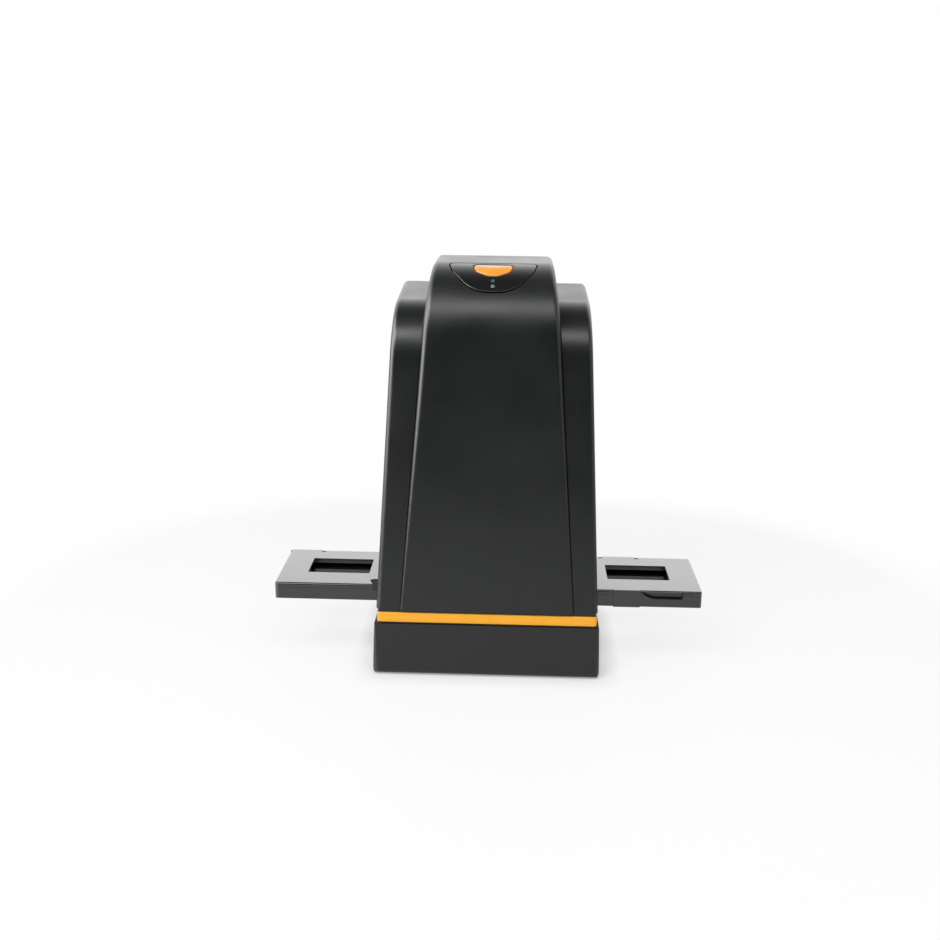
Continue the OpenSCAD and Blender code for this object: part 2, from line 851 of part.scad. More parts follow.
module scan_button() {
    flange_t = 1;
    flange_top = cover_r - wall - button_travel + 0.1;
    color("#f59a1e")
    on_curve(button_tilt) {
        intersection() {
            translate([0, 0, flange_top - flange_t]) linear_extrude(cover_r) button_plan();
            rotate([0, 90, 0]) cylinder(r = cover_r + button_proud, h = far, center = true, $fn = 160);
        }
        intersection() {
            translate([0, 0, flange_top - flange_t]) linear_extrude(flange_t) button_plan(button_gap + 0.6);
            rotate([0, 90, 0]) cylinder(r = cover_r - wall - 0.4, h = far, center = true, $fn = 160);
        }
        // stem down to the switch
        translate([0, 0, button_board_top() + switch_h + plunger_rise])
            cylinder(r = 2.2, h = flange_top - flange_t / 2 - button_board_top() - switch_h - plunger_rise);
    }
}

// ---- Backlight ----

module backlight_housing() {
    inner = 1.6;
    size = [light_box_l, light_box_w];
    color("#ececea")
    translate([0, window_y, 0]) difference() {
        translate([0, 0, floor_z]) linear_extrude(light_box_top - floor_z) round_rect(size, 2);
        translate([0, 0, led_board_z + board_t]) linear_extrude(far)
            round_rect(size - [2 * inner, 2 * inner], 1);
        // seat of the light board, with a way out for its cable
        block([-size.x / 2 + inner + 1, -size.y / 2 + inner + 1, floor_z + 1],
            [size.x / 2 - inner - 1, size.y / 2 - inner - 1, far]);
        block([-3.6, 0, floor_z - 1], [3.6, far, floor_z + 2.4]);
    }
}

module backlight_board() {
    margin = 5.6;
    color("#e2e4e0")
    block([-light_box_l / 2 + margin / 2, window_y - light_box_w / 2 + margin / 2, led_board_z],
        [light_box_l / 2 - margin / 2, window_y + light_box_w / 2 - margin / 2, led_board_z + board_t]);
}

module backlight_leds() {
    color("#f6f0c8")
    for (x = [-1, 0, 1]) translate([x * window_l / 3, window_y, led_board_z + board_t]) {
        translate([-1.75, -1.4, 0]) cube([3.5, 2.8, 1]);
        translate([0, 0, 1]) cylinder(r = 1.1, h = 0.4);
    }
}

module diffuser_plate() {
    color("#f4f6f6")
    translate([0, window_y, light_box_top]) linear_extrude(diffuser_t)
        round_rect([light_box_l - 1, light_box_w - 1], 2);
}

// ---- Film gate ----

module gate_window() {
    translate([0, window_y, 0]) linear_extrude(far)
        round_rect([window_l + 2 * gate_margin, window_w + 2 * gate_margin], 1.5);
}

module film_gate() {
    color("#1a1a1c")
    difference() {
        union() {
            difference() {
                block([-gate_l / 2, gate_front, gate_z], [gate_l / 2, gate_back, gate_top]);
                block([-far, holder_front - gate_gap, holder_z - gate_gap],
                    [far, holder_back + gate_gap, gate_roof]);
            }
            for (p = EARS) block([min(p.x, sign(p.x) * (gate_l / 2 - gate_ear)), p.y - ear_r, ear_z],
                [max(p.x, sign(p.x) * (gate_l / 2 - gate_ear)), p.y + ear_r, ear_z + ear_t]);
            for (p = EARS) translate([p.x, p.y, ear_z]) cylinder(r = ear_r, h = ear_t);
            // stakes that hold the detent spring
            for (x = [-1, 1]) translate([x * detent_hole_x, gate_back - 1, detent_z + detent_h / 2])
                rotate([-90, 0, 0]) cylinder(r = detent_stake_r, h = 2);
        }
        gate_window();
        for (p = EARS) translate([p.x, p.y, ear_z - 1]) cylinder(r = small_screw_r + 0.2, h = ear_t + 2);
        // window for the detent spring, in the rear rail
        block([-5, holder_back, holder_z], [5, far, detent_z + detent_h + 0.3]);
        for (p = tunnel_holes()) translate([p.x, p.y, gate_roof - 1])
            cylinder(r = small_screw_r + screw_fit, h = far);
    }
}

module gate_screws() {
    color("#8a8d90")
    for (p = EARS) translate([p.x, p.y, ear_z + ear_t]) rotate([180, 0, 0])
        screw(small_screw_r, 12, 1.9, 1.6);
}

// Leaf spring whose bump clicks into the notches of the holder
module detent_spring() {
    leaf_t = 0.3;
    leaf_y = gate_back + 0.02;
    color("#b9bcc0")
    translate([0, 0, detent_z]) {
        difference() {
            block([-detent_hole_x - 3, leaf_y, 0], [detent_hole_x + 3, leaf_y + leaf_t, detent_h]);
            for (x = [-1, 1]) translate([x * detent_hole_x, leaf_y - 1, detent_h / 2]) rotate([-90, 0, 0])
                cylinder(r = detent_stake_r + 0.05, h = 3);
        }
        intersection() {
            translate([0, holder_back + gate_gap + notch_r, 0]) cylinder(r = notch_r, h = detent_h);
            block([-5, holder_back, 0], [5, leaf_y + leaf_t, detent_h]);
        }
    }
}

// ---- Light tunnel and lens ----

function tunnel_holes() =
    let (x = window_l / 2 + gate_margin + 5)
    [for (sx = [-1, 1]) [sx * x, window_y]];

module light_tunnel() {
    low = [window_l + 2 * gate_margin, window_w + 2 * gate_margin];
    head_t = 2.5;
    slice = 0.1;
    color("#1a1a1c")
    translate([0, window_y, gate_top]) difference() {
        union() {
            linear_extrude(tunnel_flange_t) round_rect([low.x + 18, low.y + 8], 3);
            hull() {
                translate([0, 0, tunnel_flange_t / 2]) linear_extrude(slice)
                    square(low + [2 * tunnel_wall, 2 * tunnel_wall], center = true);
                translate([0, 0, tunnel_h - head_t]) linear_extrude(slice) square(tunnel_neck, center = true);
            }
            translate([0, 0, tunnel_h - head_t]) linear_extrude(head_t) square(lens_holder_w, center = true);
        }
        hull() {
            translate([0, 0, -0.5]) linear_extrude(slice) square(low, center = true);
            translate([0, 0, tunnel_h + 0.5]) linear_extrude(slice)
                square(tunnel_neck - 2 * tunnel_wall, center = true);
        }
        for (p = tunnel_holes()) translate([p.x, 0, -1])
            cylinder(r = small_screw_r + 0.2, h = tunnel_flange_t + 2);
    }
}

module tunnel_screws() {
    color("#8a8d90")
    for (p = tunnel_holes()) translate([p.x, p.y, gate_top + tunnel_flange_t]) rotate([180, 0, 0])
        screw(small_screw_r, tunnel_flange_t + gate_plate - 0.4, 1.9, 1.4);
}

module lens_holder() {
    color("#1a1a1c")
    translate([0, window_y, tunnel_top]) difference() {
        translate([-lens_holder_w / 2, -lens_holder_w / 2, 0])
            cube([lens_holder_w, lens_holder_w, lens_holder_h]);
        translate([0, 0, -1]) cylinder(r = lens_r + 0.05, h = lens_holder_h + 2);
        translate([0, 0, lens_seat_h]) linear_extrude(lens_holder_h)
            round_rect([lens_holder_w - 9, lens_holder_w - 9], 2);
        for (p = sensor_holes()) translate([p.x, p.y, lens_holder_h - 6])
            cylinder(r = small_screw_r + screw_fit, h = 7);
    }
}

// Screw places of the sensor board, from the lens's axis
function sensor_holes() =
    let (a = lens_holder_w / 2 - 2.3)
    [[-a, -a], [a, a]];

module lens_barrel() {
    color("#232325")
    translate([0, window_y, tunnel_top]) difference() {
        union() {
            translate([0, 0, -3]) cylinder(r = lens_r, h = lens_seat_h + 3);
            translate([0, 0, lens_seat_h + 0.02]) cylinder(r = lens_r + 1.4, h = 1.5);
            translate([0, 0, lens_seat_h - 0.1]) cylinder(r = lens_r, h = 1.6);
        }
        translate([0, 0, -4]) cylinder(r = lens_r - 1.6, h = lens_seat_h + 8);
        translate([0, 0, -3.5]) cylinder(r1 = lens_r - 0.4, r2 = lens_r - 1.6, h = 2.6);
    }
}

module lens_elements() {
    glass_r = lens_r - 1.62;
    color("#b8d4e0")
    translate([0, window_y, tunnel_top]) for (z = [1.2, 9]) translate([0, 0, z]) {
        cylinder(r = glass_r, h = 2);
        intersection() {
            translate([0, 0, 2 - 8.6]) sphere(r = 10);
            translate([0, 0, 2]) cylinder(r = glass_r - 0.4, h = 3);
        }
    }
}

module sensor_board() {
    color("#1d5a32")
    translate([0, window_y, lens_box_top]) difference() {
        linear_extrude(board_t) round_rect([sensor_board_w, sensor_board_w], 1.5);
        for (p = sensor_holes()) translate([p.x, p.y, -1]) cylinder(r = small_screw_r + 0.2, h = board_t + 2);
    }
}

module image_sensor() {
    color("#39424a")
    translate([-5.5, window_y - 5.5, lens_box_top - sensor_t]) cube([11, 11, sensor_t]);
}

module sensor_screws() {
    color("#8a8d90")
    for (p = sensor_holes()) translate([p.x, window_y + p.y, lens_box_top + board_t]) rotate([180, 0, 0])
        screw(small_screw_r, board_t + 4.5, 1.8, 1.3);
}

// ---- Main board and its parts ----

module main_board() {
    color("#1d5a32")
    difference() {
        block([-main_board_w / 2, board_y, board_z], [main_board_w / 2, board_y + board_t, board_top]);
        for (p = BOARD_HOLES) translate([p.x, board_y - 1, p.y]) rotate([-90, 0, 0])
            cylinder(r = small_screw_r + 0.2, h = board_t + 2);
    }
}

module board_chips() {
    color("#202124")
    for (c = [[-8, 40, 14, 14, 1.4], [12, 44, 12, 8, 1.1], [12, 58, 12, 8, 1.1], [-20, 62, 6, 5, 1.2]])
        block([c[0], board_y - c[4], board_z + c[1]], [c[0] + c[2], board_y, board_z + c[1] + c[3]]);
    for (z = [sensor_socket_z, light_socket_z]) difference() {
        block([-ribbon_socket.x / 2, board_y - ribbon_socket.y, z],
            [ribbon_socket.x / 2, board_y, z + ribbon_socket.z]);
        block([-sensor_ribbon_w / 2 - 0.2, ribbon_y - ribbon_t / 2 - 0.1, z - 1],
            [sensor_ribbon_w / 2 + 0.2, ribbon_y + ribbon_t / 2 + 0.1, z + ribbon_socket.z + 1]);
    }
}

module board_screws() {
    color("#8a8d90")
    for (p = BOARD_HOLES) translate([p.x, board_y, p.y]) rotate([-90, 0, 0])
        screw(small_screw_r, board_t + board_bite, 1.9, 1.4);
}

module usb_socket() {
    shell = 0.4;
    depth = cover_back_y - (usb_z - body_z) * tan(cover_back_lean) - 1 - board_y - board_t;
    color("#b9bcc0")
    translate([0, board_y + board_t, usb_z]) {
        difference() {
            block([-usb_w / 2, 0, -usb_h / 2], [usb_w / 2, depth, usb_h / 2]);
            block([-usb_w / 2 + shell, 2, -usb_h / 2 + shell],
                [usb_w / 2 - shell, depth + 1, usb_h / 2 - shell]);
        }
        block([-usb_w / 2 + 2, 1, -0.5], [usb_w / 2 - 2, depth - 0.6, 0.5]);
    }
}

// A flat cable seen from the side: level run, bend and upright run
module ribbon(level_from, level_z, bend, end_z, width) {
    up = sign(end_z - level_z);
    turn_y = ribbon_y - bend;
    turn_z = level_z + up * bend;
    across(width) {
        translate([level_from, level_z - ribbon_t / 2]) square([turn_y - level_from, ribbon_t]);
        intersection() {
            difference() {
                translate([turn_y, turn_z]) circle(r = bend + ribbon_t / 2);
                translate([turn_y, turn_z]) circle(r = bend - ribbon_t / 2);
            }
            translate([turn_y, up > 0 ? turn_z - 2 * bend : turn_z]) square(2 * bend);
        }
        translate([ribbon_y - ribbon_t / 2, min(turn_z, end_z)]) square([ribbon_t, abs(end_z - turn_z)]);
    }
}

module sensor_ribbon() {
    color("#d8cfa8")
    ribbon(window_y + 4, lens_box_top + board_t + ribbon_t / 2 + 0.02, 10, sensor_socket_z + 1,
        sensor_ribbon_w);
}

module backlight_ribbon() {
    color("#d8cfa8")
    ribbon(window_y + 4, led_board_z - ribbon_t / 2 - 0.02, 8, light_socket_z + ribbon_socket.z - 1,
        light_ribbon_w);
}

// ---- Slide holder ----

// Outer form of the closed holder without its clasp, between two levels
module holder_form(low, high) {
    low_r = 0.6;
    top_r = lid_edge_r;
    end = holder_l / 2;
    intersection() {
        translate([0, (lid_front + holder_back) / 2, low]) linear_extrude(high - low)
            round_rect([holder_l, holder_back - lid_front], holder_corner_r);
        across() belt([
            [lid_front + low_r, holder_z + low_r, low_r],
            [holder_back - low_r, holder_z + low_r, low_r],
            [holder_back - low_r, holder_top - low_r, low_r],
            [lid_front + top_r, holder_top - top_r, top_r]
        ]);
        through() belt([
            [-end + low_r, holder_z + low_r, low_r],
            [end - low_r, holder_z + low_r, low_r],
            [end - top_r, holder_top - top_r, top_r],
            [-end + top_r, holder_top - top_r, top_r]
        ]);
    }
}

// One opening through the whole holder for each slide
module slide_windows() {
    for (x = SLIDES) translate([x, window_y, 0]) linear_extrude(far) round_rect([window_l, window_w], 0.6);
}

// Thumb recess beside the clasp: a curve down from the clasp's top corner, then a level floor
module thumb_recess() {
    low = holder_z + recess_floor;
    high = holder_top - 0.7;
    r = 1.2;
    drop = holder_top - low;
    curve_r = (recess_slope * recess_slope + drop * drop) / (2 * drop);
    intersection() {
        translate([clasp_x + clasp_l, 0, 0]) through() belt([
            [recess_slope, low + curve_r, curve_r],
            [recess_slope + recess_l - r, low + r, r],
            [recess_slope + recess_l - r, low + curve_r, r]
        ]);
        block([-far, -far, -far], [far, lid_front + recess_depth, high]);
    }
}

// Ramp cut into the front edge, so that a finger can lift the lid
module finger_ramp() {
    r = 2.5;
    out = 5;
    nose = [3, 1]; // narrowing towards the front, and the radius there
    back = lid_front + ramp_reach;
    slope = ramp_depth / ramp_reach;
    intersection() {
        linear_extrude(far) belt([
            [ramp_x + nose[0] + nose[1], lid_front - nose[0], nose[1]],
            [ramp_x + ramp_l - nose[0] - nose[1], lid_front - nose[0], nose[1]],
            [ramp_x + ramp_l - r, back - r, r],
            [ramp_x + r, back - r, r]
        ]);
        across() polygon([
            [back, holder_top],
            [lid_front - out, holder_top - slope * (ramp_reach + out)],
            [lid_front - out, holder_top + out],
            [back, holder_top + out]
        ]);
    }
}

module holder_base() {
    notch_in = 0.9;
    pin_l = 4;
    wall_to_hinge = 0.8;
    slit_low = holder_z + 1.2;
    top = lid_z - lid_seam;
    pocket_z = top - pocket_depth;
    color("#2a2a2c")
    difference() {
        union() {
            difference() {
                holder_form(holder_z, top);
                for (x = HINGES) translate([x, hinge_y, hinge_z])
                    block([-hinge_l / 2 - barrel_gap, -hinge_r - barrel_gap, -hinge_r - barrel_gap],
                        [hinge_l / 2 + barrel_gap, far, far]);
            }
            // ears and pins of the hinge
            for (e = EARS_X) translate([e[1] > 0 ? e.x : e.x - hinge_ear_t, 0, 0]) {
                block([0, hinge_y - hinge_r, top - 1], [hinge_ear_t, holder_back - 0.3, hinge_z]);
                translate([0, hinge_y, hinge_z]) rotate([0, 90, 0]) cylinder(r = hinge_r, h = hinge_ear_t);
                translate([e[1] > 0 ? -pin_l : 0, hinge_y, hinge_z]) rotate([0, 90, 0])
                    cylinder(r = hinge_pin_r, h = hinge_ear_t + pin_l);
            }
        }
        for (x = SLIDES) translate([x - pocket / 2, window_y - pocket / 2, pocket_z]) {
            cube([pocket, pocket, tuck_h]);
            cube([pocket, hinge_y - hinge_r - barrel_gap - wall_to_hinge - window_y + pocket / 2, far]);
        }
        slide_windows();
        // notches for the detent
        for (x = SLIDES) translate([x, holder_back + notch_r - notch_in, holder_z - 1])
            cylinder(r = notch_r, h = 1 + notch_h);
        thumb_recess();
        finger_ramp();
        // slit that the lid's hook reaches into
        block([clasp_x - barrel_gap, lid_front - 1, slit_low],
            [clasp_x + clasp_l + barrel_gap, lid_front + 1, slit_low + 1.6]);
    }
}

module holder_lid() {
    rib_h = 1.2;
    hook_in = 0.8;
    set_in = 1.6;
    color("#2e2e30")
    difference() {
        union() {
            difference() {
                holder_form(lid_z, holder_top);
                // the back edge is set in between the barrels, and more so at the hinge ears
                for (x = HINGES) block([x + hinge_l / 2, holder_back - set_in, -far],
                    [x - hinge_l / 2 + hinge_pitch, far, far]);
                for (e = EARS_X) translate([e[1] > 0 ? e.x : e.x - hinge_ear_t, 0, 0])
                    block([-0.1, hinge_y - hinge_r - barrel_gap, 0], [hinge_ear_t + 0.1, far, far]);
            }
            for (x = HINGES) translate([x - hinge_l / 2, hinge_y, hinge_z]) rotate([0, 90, 0])
                cylinder(r = hinge_r, h = hinge_l);
            // ribs that press the slide mounts down, beside their windows
            for (x = SLIDES, s = [-1, 1])
                translate([x + s * (window_l / 2 + 3.6) - 1, window_y - window_w / 2, lid_z - rib_h])
                    cube([2, window_w, rib_h + 0.5]);
            // clasp that wraps over the front, with its hook
            translate([clasp_x, holder_front, 0]) {
                block([0, 0, holder_z], [clasp_l, clasp_proud - 0.02, holder_top + clasp_rise]);
                block([0, 0, lid_z], [clasp_l, clasp_proud + 3, holder_top + clasp_rise]);
                block([0, 0, holder_z + 1.4], [clasp_l, clasp_proud + hook_in, holder_z + 2.6]);
            }
        }
        slide_windows();
        for (x = HINGES) translate([x - hinge_l / 2 - 1, hinge_y, hinge_z]) rotate([0, 90, 0])
            cylinder(r = hinge_pin_r + 0.08, h = hinge_l + 2);
        thumb_recess();
        finger_ramp();
    }
}

base_pan();
rubber_feet();
base_screws();
trim_ring();
left_casing();
right_casing();
centre_cover();
rear_cover();
button_panel();
led_window();
button_board();
button_board_screws();
tact_switch();
power_led();
backlight_housing();
backlight_board();
backlight_leds();
diffuser_plate();
film_gate();
gate_screws();
detent_spring();
light_tunnel();
tunnel_screws();
lens_holder();
lens_barrel();
lens_elements();
sensor_board();
image_sensor();
sensor_screws();
main_board();
board_chips();
board_screws();
usb_socket();
sensor_ribbon();
backlight_ribbon();
scan_button();
switch_plunger();
holder_base();
holder_lid();
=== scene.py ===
"""Looks of a desktop slide scanner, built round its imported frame.

The tower's moulded shells are swept from the same discs and leaning planes as their solids, and
get the soft edges of real mouldings. The other parts keep their solids and get their finishes.
Lengths are in millimetres until a mesh is made, and angles are in degrees.
"""

import logging
import math
from dataclasses import dataclass
from enum import Enum
from typing import ClassVar

import bmesh
import bpy
from mathutils import Matrix, Vector, geometry


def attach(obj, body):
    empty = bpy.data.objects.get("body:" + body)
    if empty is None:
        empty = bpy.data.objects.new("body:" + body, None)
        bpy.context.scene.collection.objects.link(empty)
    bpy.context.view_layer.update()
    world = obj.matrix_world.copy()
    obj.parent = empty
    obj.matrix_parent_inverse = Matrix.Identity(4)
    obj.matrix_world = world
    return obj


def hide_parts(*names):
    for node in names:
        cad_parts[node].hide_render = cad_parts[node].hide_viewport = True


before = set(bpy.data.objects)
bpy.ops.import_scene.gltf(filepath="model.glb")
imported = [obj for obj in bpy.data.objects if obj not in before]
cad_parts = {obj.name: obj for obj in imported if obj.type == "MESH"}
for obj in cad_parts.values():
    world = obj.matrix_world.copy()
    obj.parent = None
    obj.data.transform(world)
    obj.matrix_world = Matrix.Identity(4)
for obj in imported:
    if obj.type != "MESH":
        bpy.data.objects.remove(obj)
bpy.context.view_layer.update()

LOG = logging.getLogger("slide_scanner")
MM = 0.001
WELD = 0.002  # a solid's points that lie closer than this become one
RANGE = ("Value", "From Min", "From Max", "To Min", "To Max")  # a MapRange node's inputs

Piece = bpy.types.Object
Tree = bpy.types.NodeTree
Socket = bpy.types.NodeSocket
Pair = tuple[float, float]
Triple = tuple[float, float, float]
Extras = tuple[tuple[str, float], ...]
Facing = tuple[Vector, Vector]  # a place, and the way that it faces
Rows = list[list[Facing]]
Loop = list[tuple[float, float, float, float]]  # x, y and the direction out of the loop there
Edge = list[tuple[Vector, Vector, Vector, Vector]]  # place, way along the face, facing, way down


# ---- Colours and shader nodes ----


def linear(hex_colour: str) -> tuple[float, float, float, float]:
    """Turns an sRGB hex colour into linear light.

    Args:
        hex_colour: Six hex digits after a hash sign.

    Returns:
        Red, green, blue and an alpha of 1, each from 0 to 1.
    """
    parts = [int(hex_colour[i : i + 2], 16) / 255 for i in (1, 3, 5)]
    red, green, blue = (p / 12.92 if p <= 0.04045 else ((p + 0.055) / 1.055) ** 2.4 for p in parts)
    return red, green, blue, 1.0


def add_node(
    tree: Tree, kind: str, inputs: dict[str | int, object] | None = None, **settings: object
) -> bpy.types.Node:
    """Adds a shader node with its settings and its inputs.

    Args:
        tree: The node tree that takes the node.
        kind: The node's type, without the ShaderNode in front.
        inputs: Values, sockets to link from, or nodes to link from by their first output in use,
            by input name or number.
        **settings: Properties of the node itself.

    Returns:
        The new node.
    """
    node = tree.nodes.new("ShaderNode" + kind)
    for key, value in settings.items():
        setattr(node, key, value)
    for key, value in (inputs or {}).items():
        if isinstance(value, bpy.types.Node):
            value = next(socket for socket in value.outputs if socket.enabled)
        if isinstance(value, Socket):
            tree.links.new(value, node.inputs[key])
        else:
            node.inputs[key].default_value = value
    return node


def per_mm(size: float) -> float:
    """Gives the texture scale that makes a pattern repeat about once in this many millimetres."""
    return 1 / (size * MM)


@dataclass(frozen=True)
class Noise:
    """A pattern over a surface, which repeats about once in its size, in millimetres."""

    size: float
    detail: float = 2.0
    roughness: float = 0.5
    low: float = 0.0  # the value that counts as none of it
    high: float = 1.0  # the value that counts as all of it


@dataclass(frozen=True)
class Finish:
    """What a piece is made of. It makes its Blender material once and hands it out after that."""

    made: ClassVar[dict[str, bpy.types.Material]] = {}
    label: str
    colour: str
    roughness: float
    shade: str = ""  # the colour that the tint brings in
    tint: Noise | None = None
    share: float = 1.0  # how much of the shade comes in at the most
    gloss: Noise | None = None
    gloss_drift: Pair = (0.0, 0.0)  # how far the roughness falls and rises
    relief: Noise | None = None
    relief_depth: float = 0.0
    tone_drift: float = 0.0  # how much the relief lightens and darkens the colour
    ior: float = 1.5
    coat: float = 0.0
    more: Extras = ()  # further inputs of the shader

    def material(self) -> bpy.types.Material:
        """Gives this finish's material, and makes it the first time.

        Returns:
            The material, which has the finish's label as its name.
        """
        if self.label not in Finish.made:
            skin = bpy.data.materials.new(self.label)
            skin.use_nodes = True
            tree = skin.node_tree
            tree.nodes.clear()
            place = add_node(tree, "TexCoord").outputs["Object"]
            body = add_node(tree, "BsdfPrincipled", self.inputs(tree, place))
            add_node(tree, "OutputMaterial", {"Surface": body})
            Finish.made[self.label] = skin
        return Finish.made[self.label]

    def inputs(self, tree: Tree, place: Socket) -> dict[str, object]:
        """Draws the finish's patterns.

        Args:
            tree: The material's node tree.
            place: What gives the place on the piece.

        Returns:
            The shader's inputs by name, as values, nodes or sockets.
        """
        noise = {
            pattern: add_node(
                tree,
                "TexNoise",
                {
                    "Vector": place,
                    "Scale": per_mm(pattern.size),
                    "Detail": pattern.detail,
                    "Roughness": pattern.roughness,
                },
            )
            for pattern in (self.tint, self.gloss, self.relief)
            if pattern
        }
        fall, rise = self.gloss_drift
        laid = {
            pattern: add_node(
                tree,
                "MapRange",
                dict(zip(RANGE, (noise[pattern], pattern.low, pattern.high, *reach))),
            )
            for pattern, reach in (
                (self.tint, (0.0, self.share)),
                (self.gloss, (self.roughness - fall, self.roughness + rise)),
                (self.relief, (1 - self.tone_drift, 1 + self.tone_drift)),
            )
            if pattern and reach not in ((0.0, 1.0), (1.0, 1.0))
        }
        shader = dict(self.more) | {"IOR": self.ior, "Coat Weight": self.coat}
        shader["Roughness"] = laid.get(self.gloss, self.roughness)
        shader["Base Color"] = colour = linear(self.colour)
        if self.tone_drift:
            tint = {0: 1.0, 6: colour, 7: laid[self.relief]}
            tinted = add_node(tree, "Mix", tint, data_type="RGBA", blend_type="MULTIPLY")
            shader["Base Color"] = tinted
        elif self.tint:
            share = laid.get(self.tint, noise[self.tint])
            tint = {0: share, 6: colour, 7: linear(self.shade)}
            shader["Base Color"] = add_node(tree, "Mix", tint, data_type="RGBA")
        if self.relief:
            depth = self.relief_depth * MM
            bump = {"Height": noise[self.relief], "Strength": 1.0, "Distance": depth}
            shader["Normal"] = add_node(tree, "Bump", bump)
        return shader


@dataclass(frozen=True)
class TexturedAbs(Finish):
    """ABS pressed in a spark-eroded steel mould.

    To the eye it is a satin surface with a fine even grain, which breaks each highlight into a soft
    edge, and with faint broad changes of gloss where the plastic filled the mould. The real grain
    is near 0.1 mm. It is drawn coarser, so that it shows at all.
    """

    gloss: Noise = Noise(38.0, 3.0, low=0.3, high=0.7)
    gloss_drift: Pair = (0.05, 0.05)
    relief: Noise = Noise(0.55, roughness=0.6, low=0.3, high=0.7)
    relief_depth: float = 0.006
    tone_drift: float = 0.1
    ior: float = 1.53
    more: Extras = (("Coat Roughness", 0.24),)


@dataclass(frozen=True)
class PolishedAbs(Finish):
    """Coloured ABS from a polished mould.

    To the eye it is a clean glossy skin over a deep even colour, with a slight waviness that bends
    the reflections, and a colour that deepens where the light leaves it.
    """

    tint: Noise = Noise(9.0, low=0.35, high=0.8)
    share: float = 0.5
    relief: Noise = Noise(2.5, 1.0)
    relief_depth: float = 0.004
    ior: float = 1.53
    more: Extras = (("Subsurface Weight", 0.12), ("Subsurface Scale", 0.6 * MM))


@dataclass(frozen=True)
class NitrileRubber(Finish):
    """Black nitrile rubber, die-cut from sheet: dull, with a fine dusty tooth."""

    label: str = "black_nitrile_rubber"
    colour: str = "#161616"
    roughness: float = 0.85
    relief: Noise = Noise(0.4, 3.0)
    relief_depth: float = 0.02


@dataclass(frozen=True)
class PlatedSteel(Finish):
    """Cold-formed steel with a thin plated skin: grey, bright, with fine upright drawing lines."""

    gloss: Noise = Noise(0.25)
    gloss_drift: Pair = (0.08, 0.1)
    squeeze: float = 0.08  # a line's width against its height
    more: Extras = (("Metallic", 1.0),)

    def inputs(self, tree: Tree, place: Socket) -> dict[str, object]:
        """Stretches the noise upwards into lines."""
        lines = add_node(tree, "Mapping", {"Vector": place, "Scale": (1.0, 1.0, self.squeeze)})
        return super().inputs(tree, lines.outputs["Vector"])


@dataclass(frozen=True)
class OpalAcrylic(Finish):
    """Opal cast acrylic: milky, softly lit through its thickness, with a smooth skin."""

    label: str = "opal_acrylic"
    colour: str = "#f2f5f6"
    roughness: float = 0.31
    gloss: Noise = Noise(14.0)
    gloss_drift: Pair = (0.09, 0.09)
    ior: float = 1.49
    more: Extras = (("Subsurface Weight", 0.6), ("Subsurface Scale", 2 * MM))


@dataclass(frozen=True)
class CoatedGlass(Finish):
    """Ground lens glass with a blooming coat: clear and slightly blue in its reflections."""

    roughness: float = 0.03
    shade: str = "#d6e2f4"
    tint: Noise = Noise(6.0)
    ior: float = 1.6
    more: Extras = (("Transmission Weight", 0.85),)


@dataclass(frozen=True)
class SolderMask(Finish):
    """Green solder mask over copper tracks: a glossy lacquer with fine straight ridges."""

    label: str = "green_solder_mask"
    colour: str = "#17512b"
    roughness: float = 0.32
    shade: str = "#2f7a45"
    relief_depth: float = 0.035
    track_gap: float = 1.2

    def inputs(self, tree: Tree, place: Socket) -> dict[str, object]:
        """Draws tracks under the lacquer.

        Args:
            tree: The material's node tree.
            place: What gives the place on the piece.

        Returns:
            The shader's inputs by name.
        """
        ridges = add_node(
            tree,
            "TexBrick",
            {
                "Vector": place,
                "Scale": per_mm(self.track_gap) / 4,  # a row of bricks is a quarter of a unit high
                "Color1": linear(self.colour),
                "Color2": linear(self.colour),
                "Mortar": linear(self.shade),
                "Mortar Size": 0.03,
            },
        )
        height, depth = ridges.outputs["Fac"], self.relief_depth * MM
        bump = add_node(tree, "Bump", {"Height": height, "Strength": 0.6, "Distance": depth})
        return super().inputs(tree, place) | {"Base Color": ridges.outputs["Color"], "Normal": bump}


@dataclass(frozen=True)
class PolyimideFilm(Finish):
    """Amber film over fine copper conductors: glossy, striped along its length."""

    label: str = "polyimide_film"
    colour: str = "#c9a45a"
    roughness: float = 0.35
    shade: str = "#a8742f"
    ior: float = 1.6
    pitch: float = 1.0

    def inputs(self, tree: Tree, place: Socket) -> dict[str, object]:
        """Draws a conductor at every pitch.

        Args:
            tree: The material's node tree.
            place: What gives the place on the piece.

        Returns:
            The shader's inputs by name.
        """
        scale = {"Vector": place, "Scale": per_mm(self.pitch) / 6.3}  # a wave is 1 / 6.3 of a unit
        stripes = add_node(tree, "TexWave", scale, bands_direction="X").outputs["Fac"]
        tint = {0: stripes, 6: linear(self.colour), 7: linear(self.shade)}
        tinted = add_node(tree, "Mix", tint, data_type="RGBA")
        return super().inputs(tree, place) | {"Base Color": tinted}


@dataclass(frozen=True)
class PrintedInk(Finish):
    """Pale ink pad-printed on plastic: thin, matt, a little uneven in cover."""

    label: str = "pale_pad_ink"
    colour: str = "#c9ccce"
    roughness: float = 0.6
    shade: str = "#9fa2a4"
    tint: Noise = Noise(0.3)


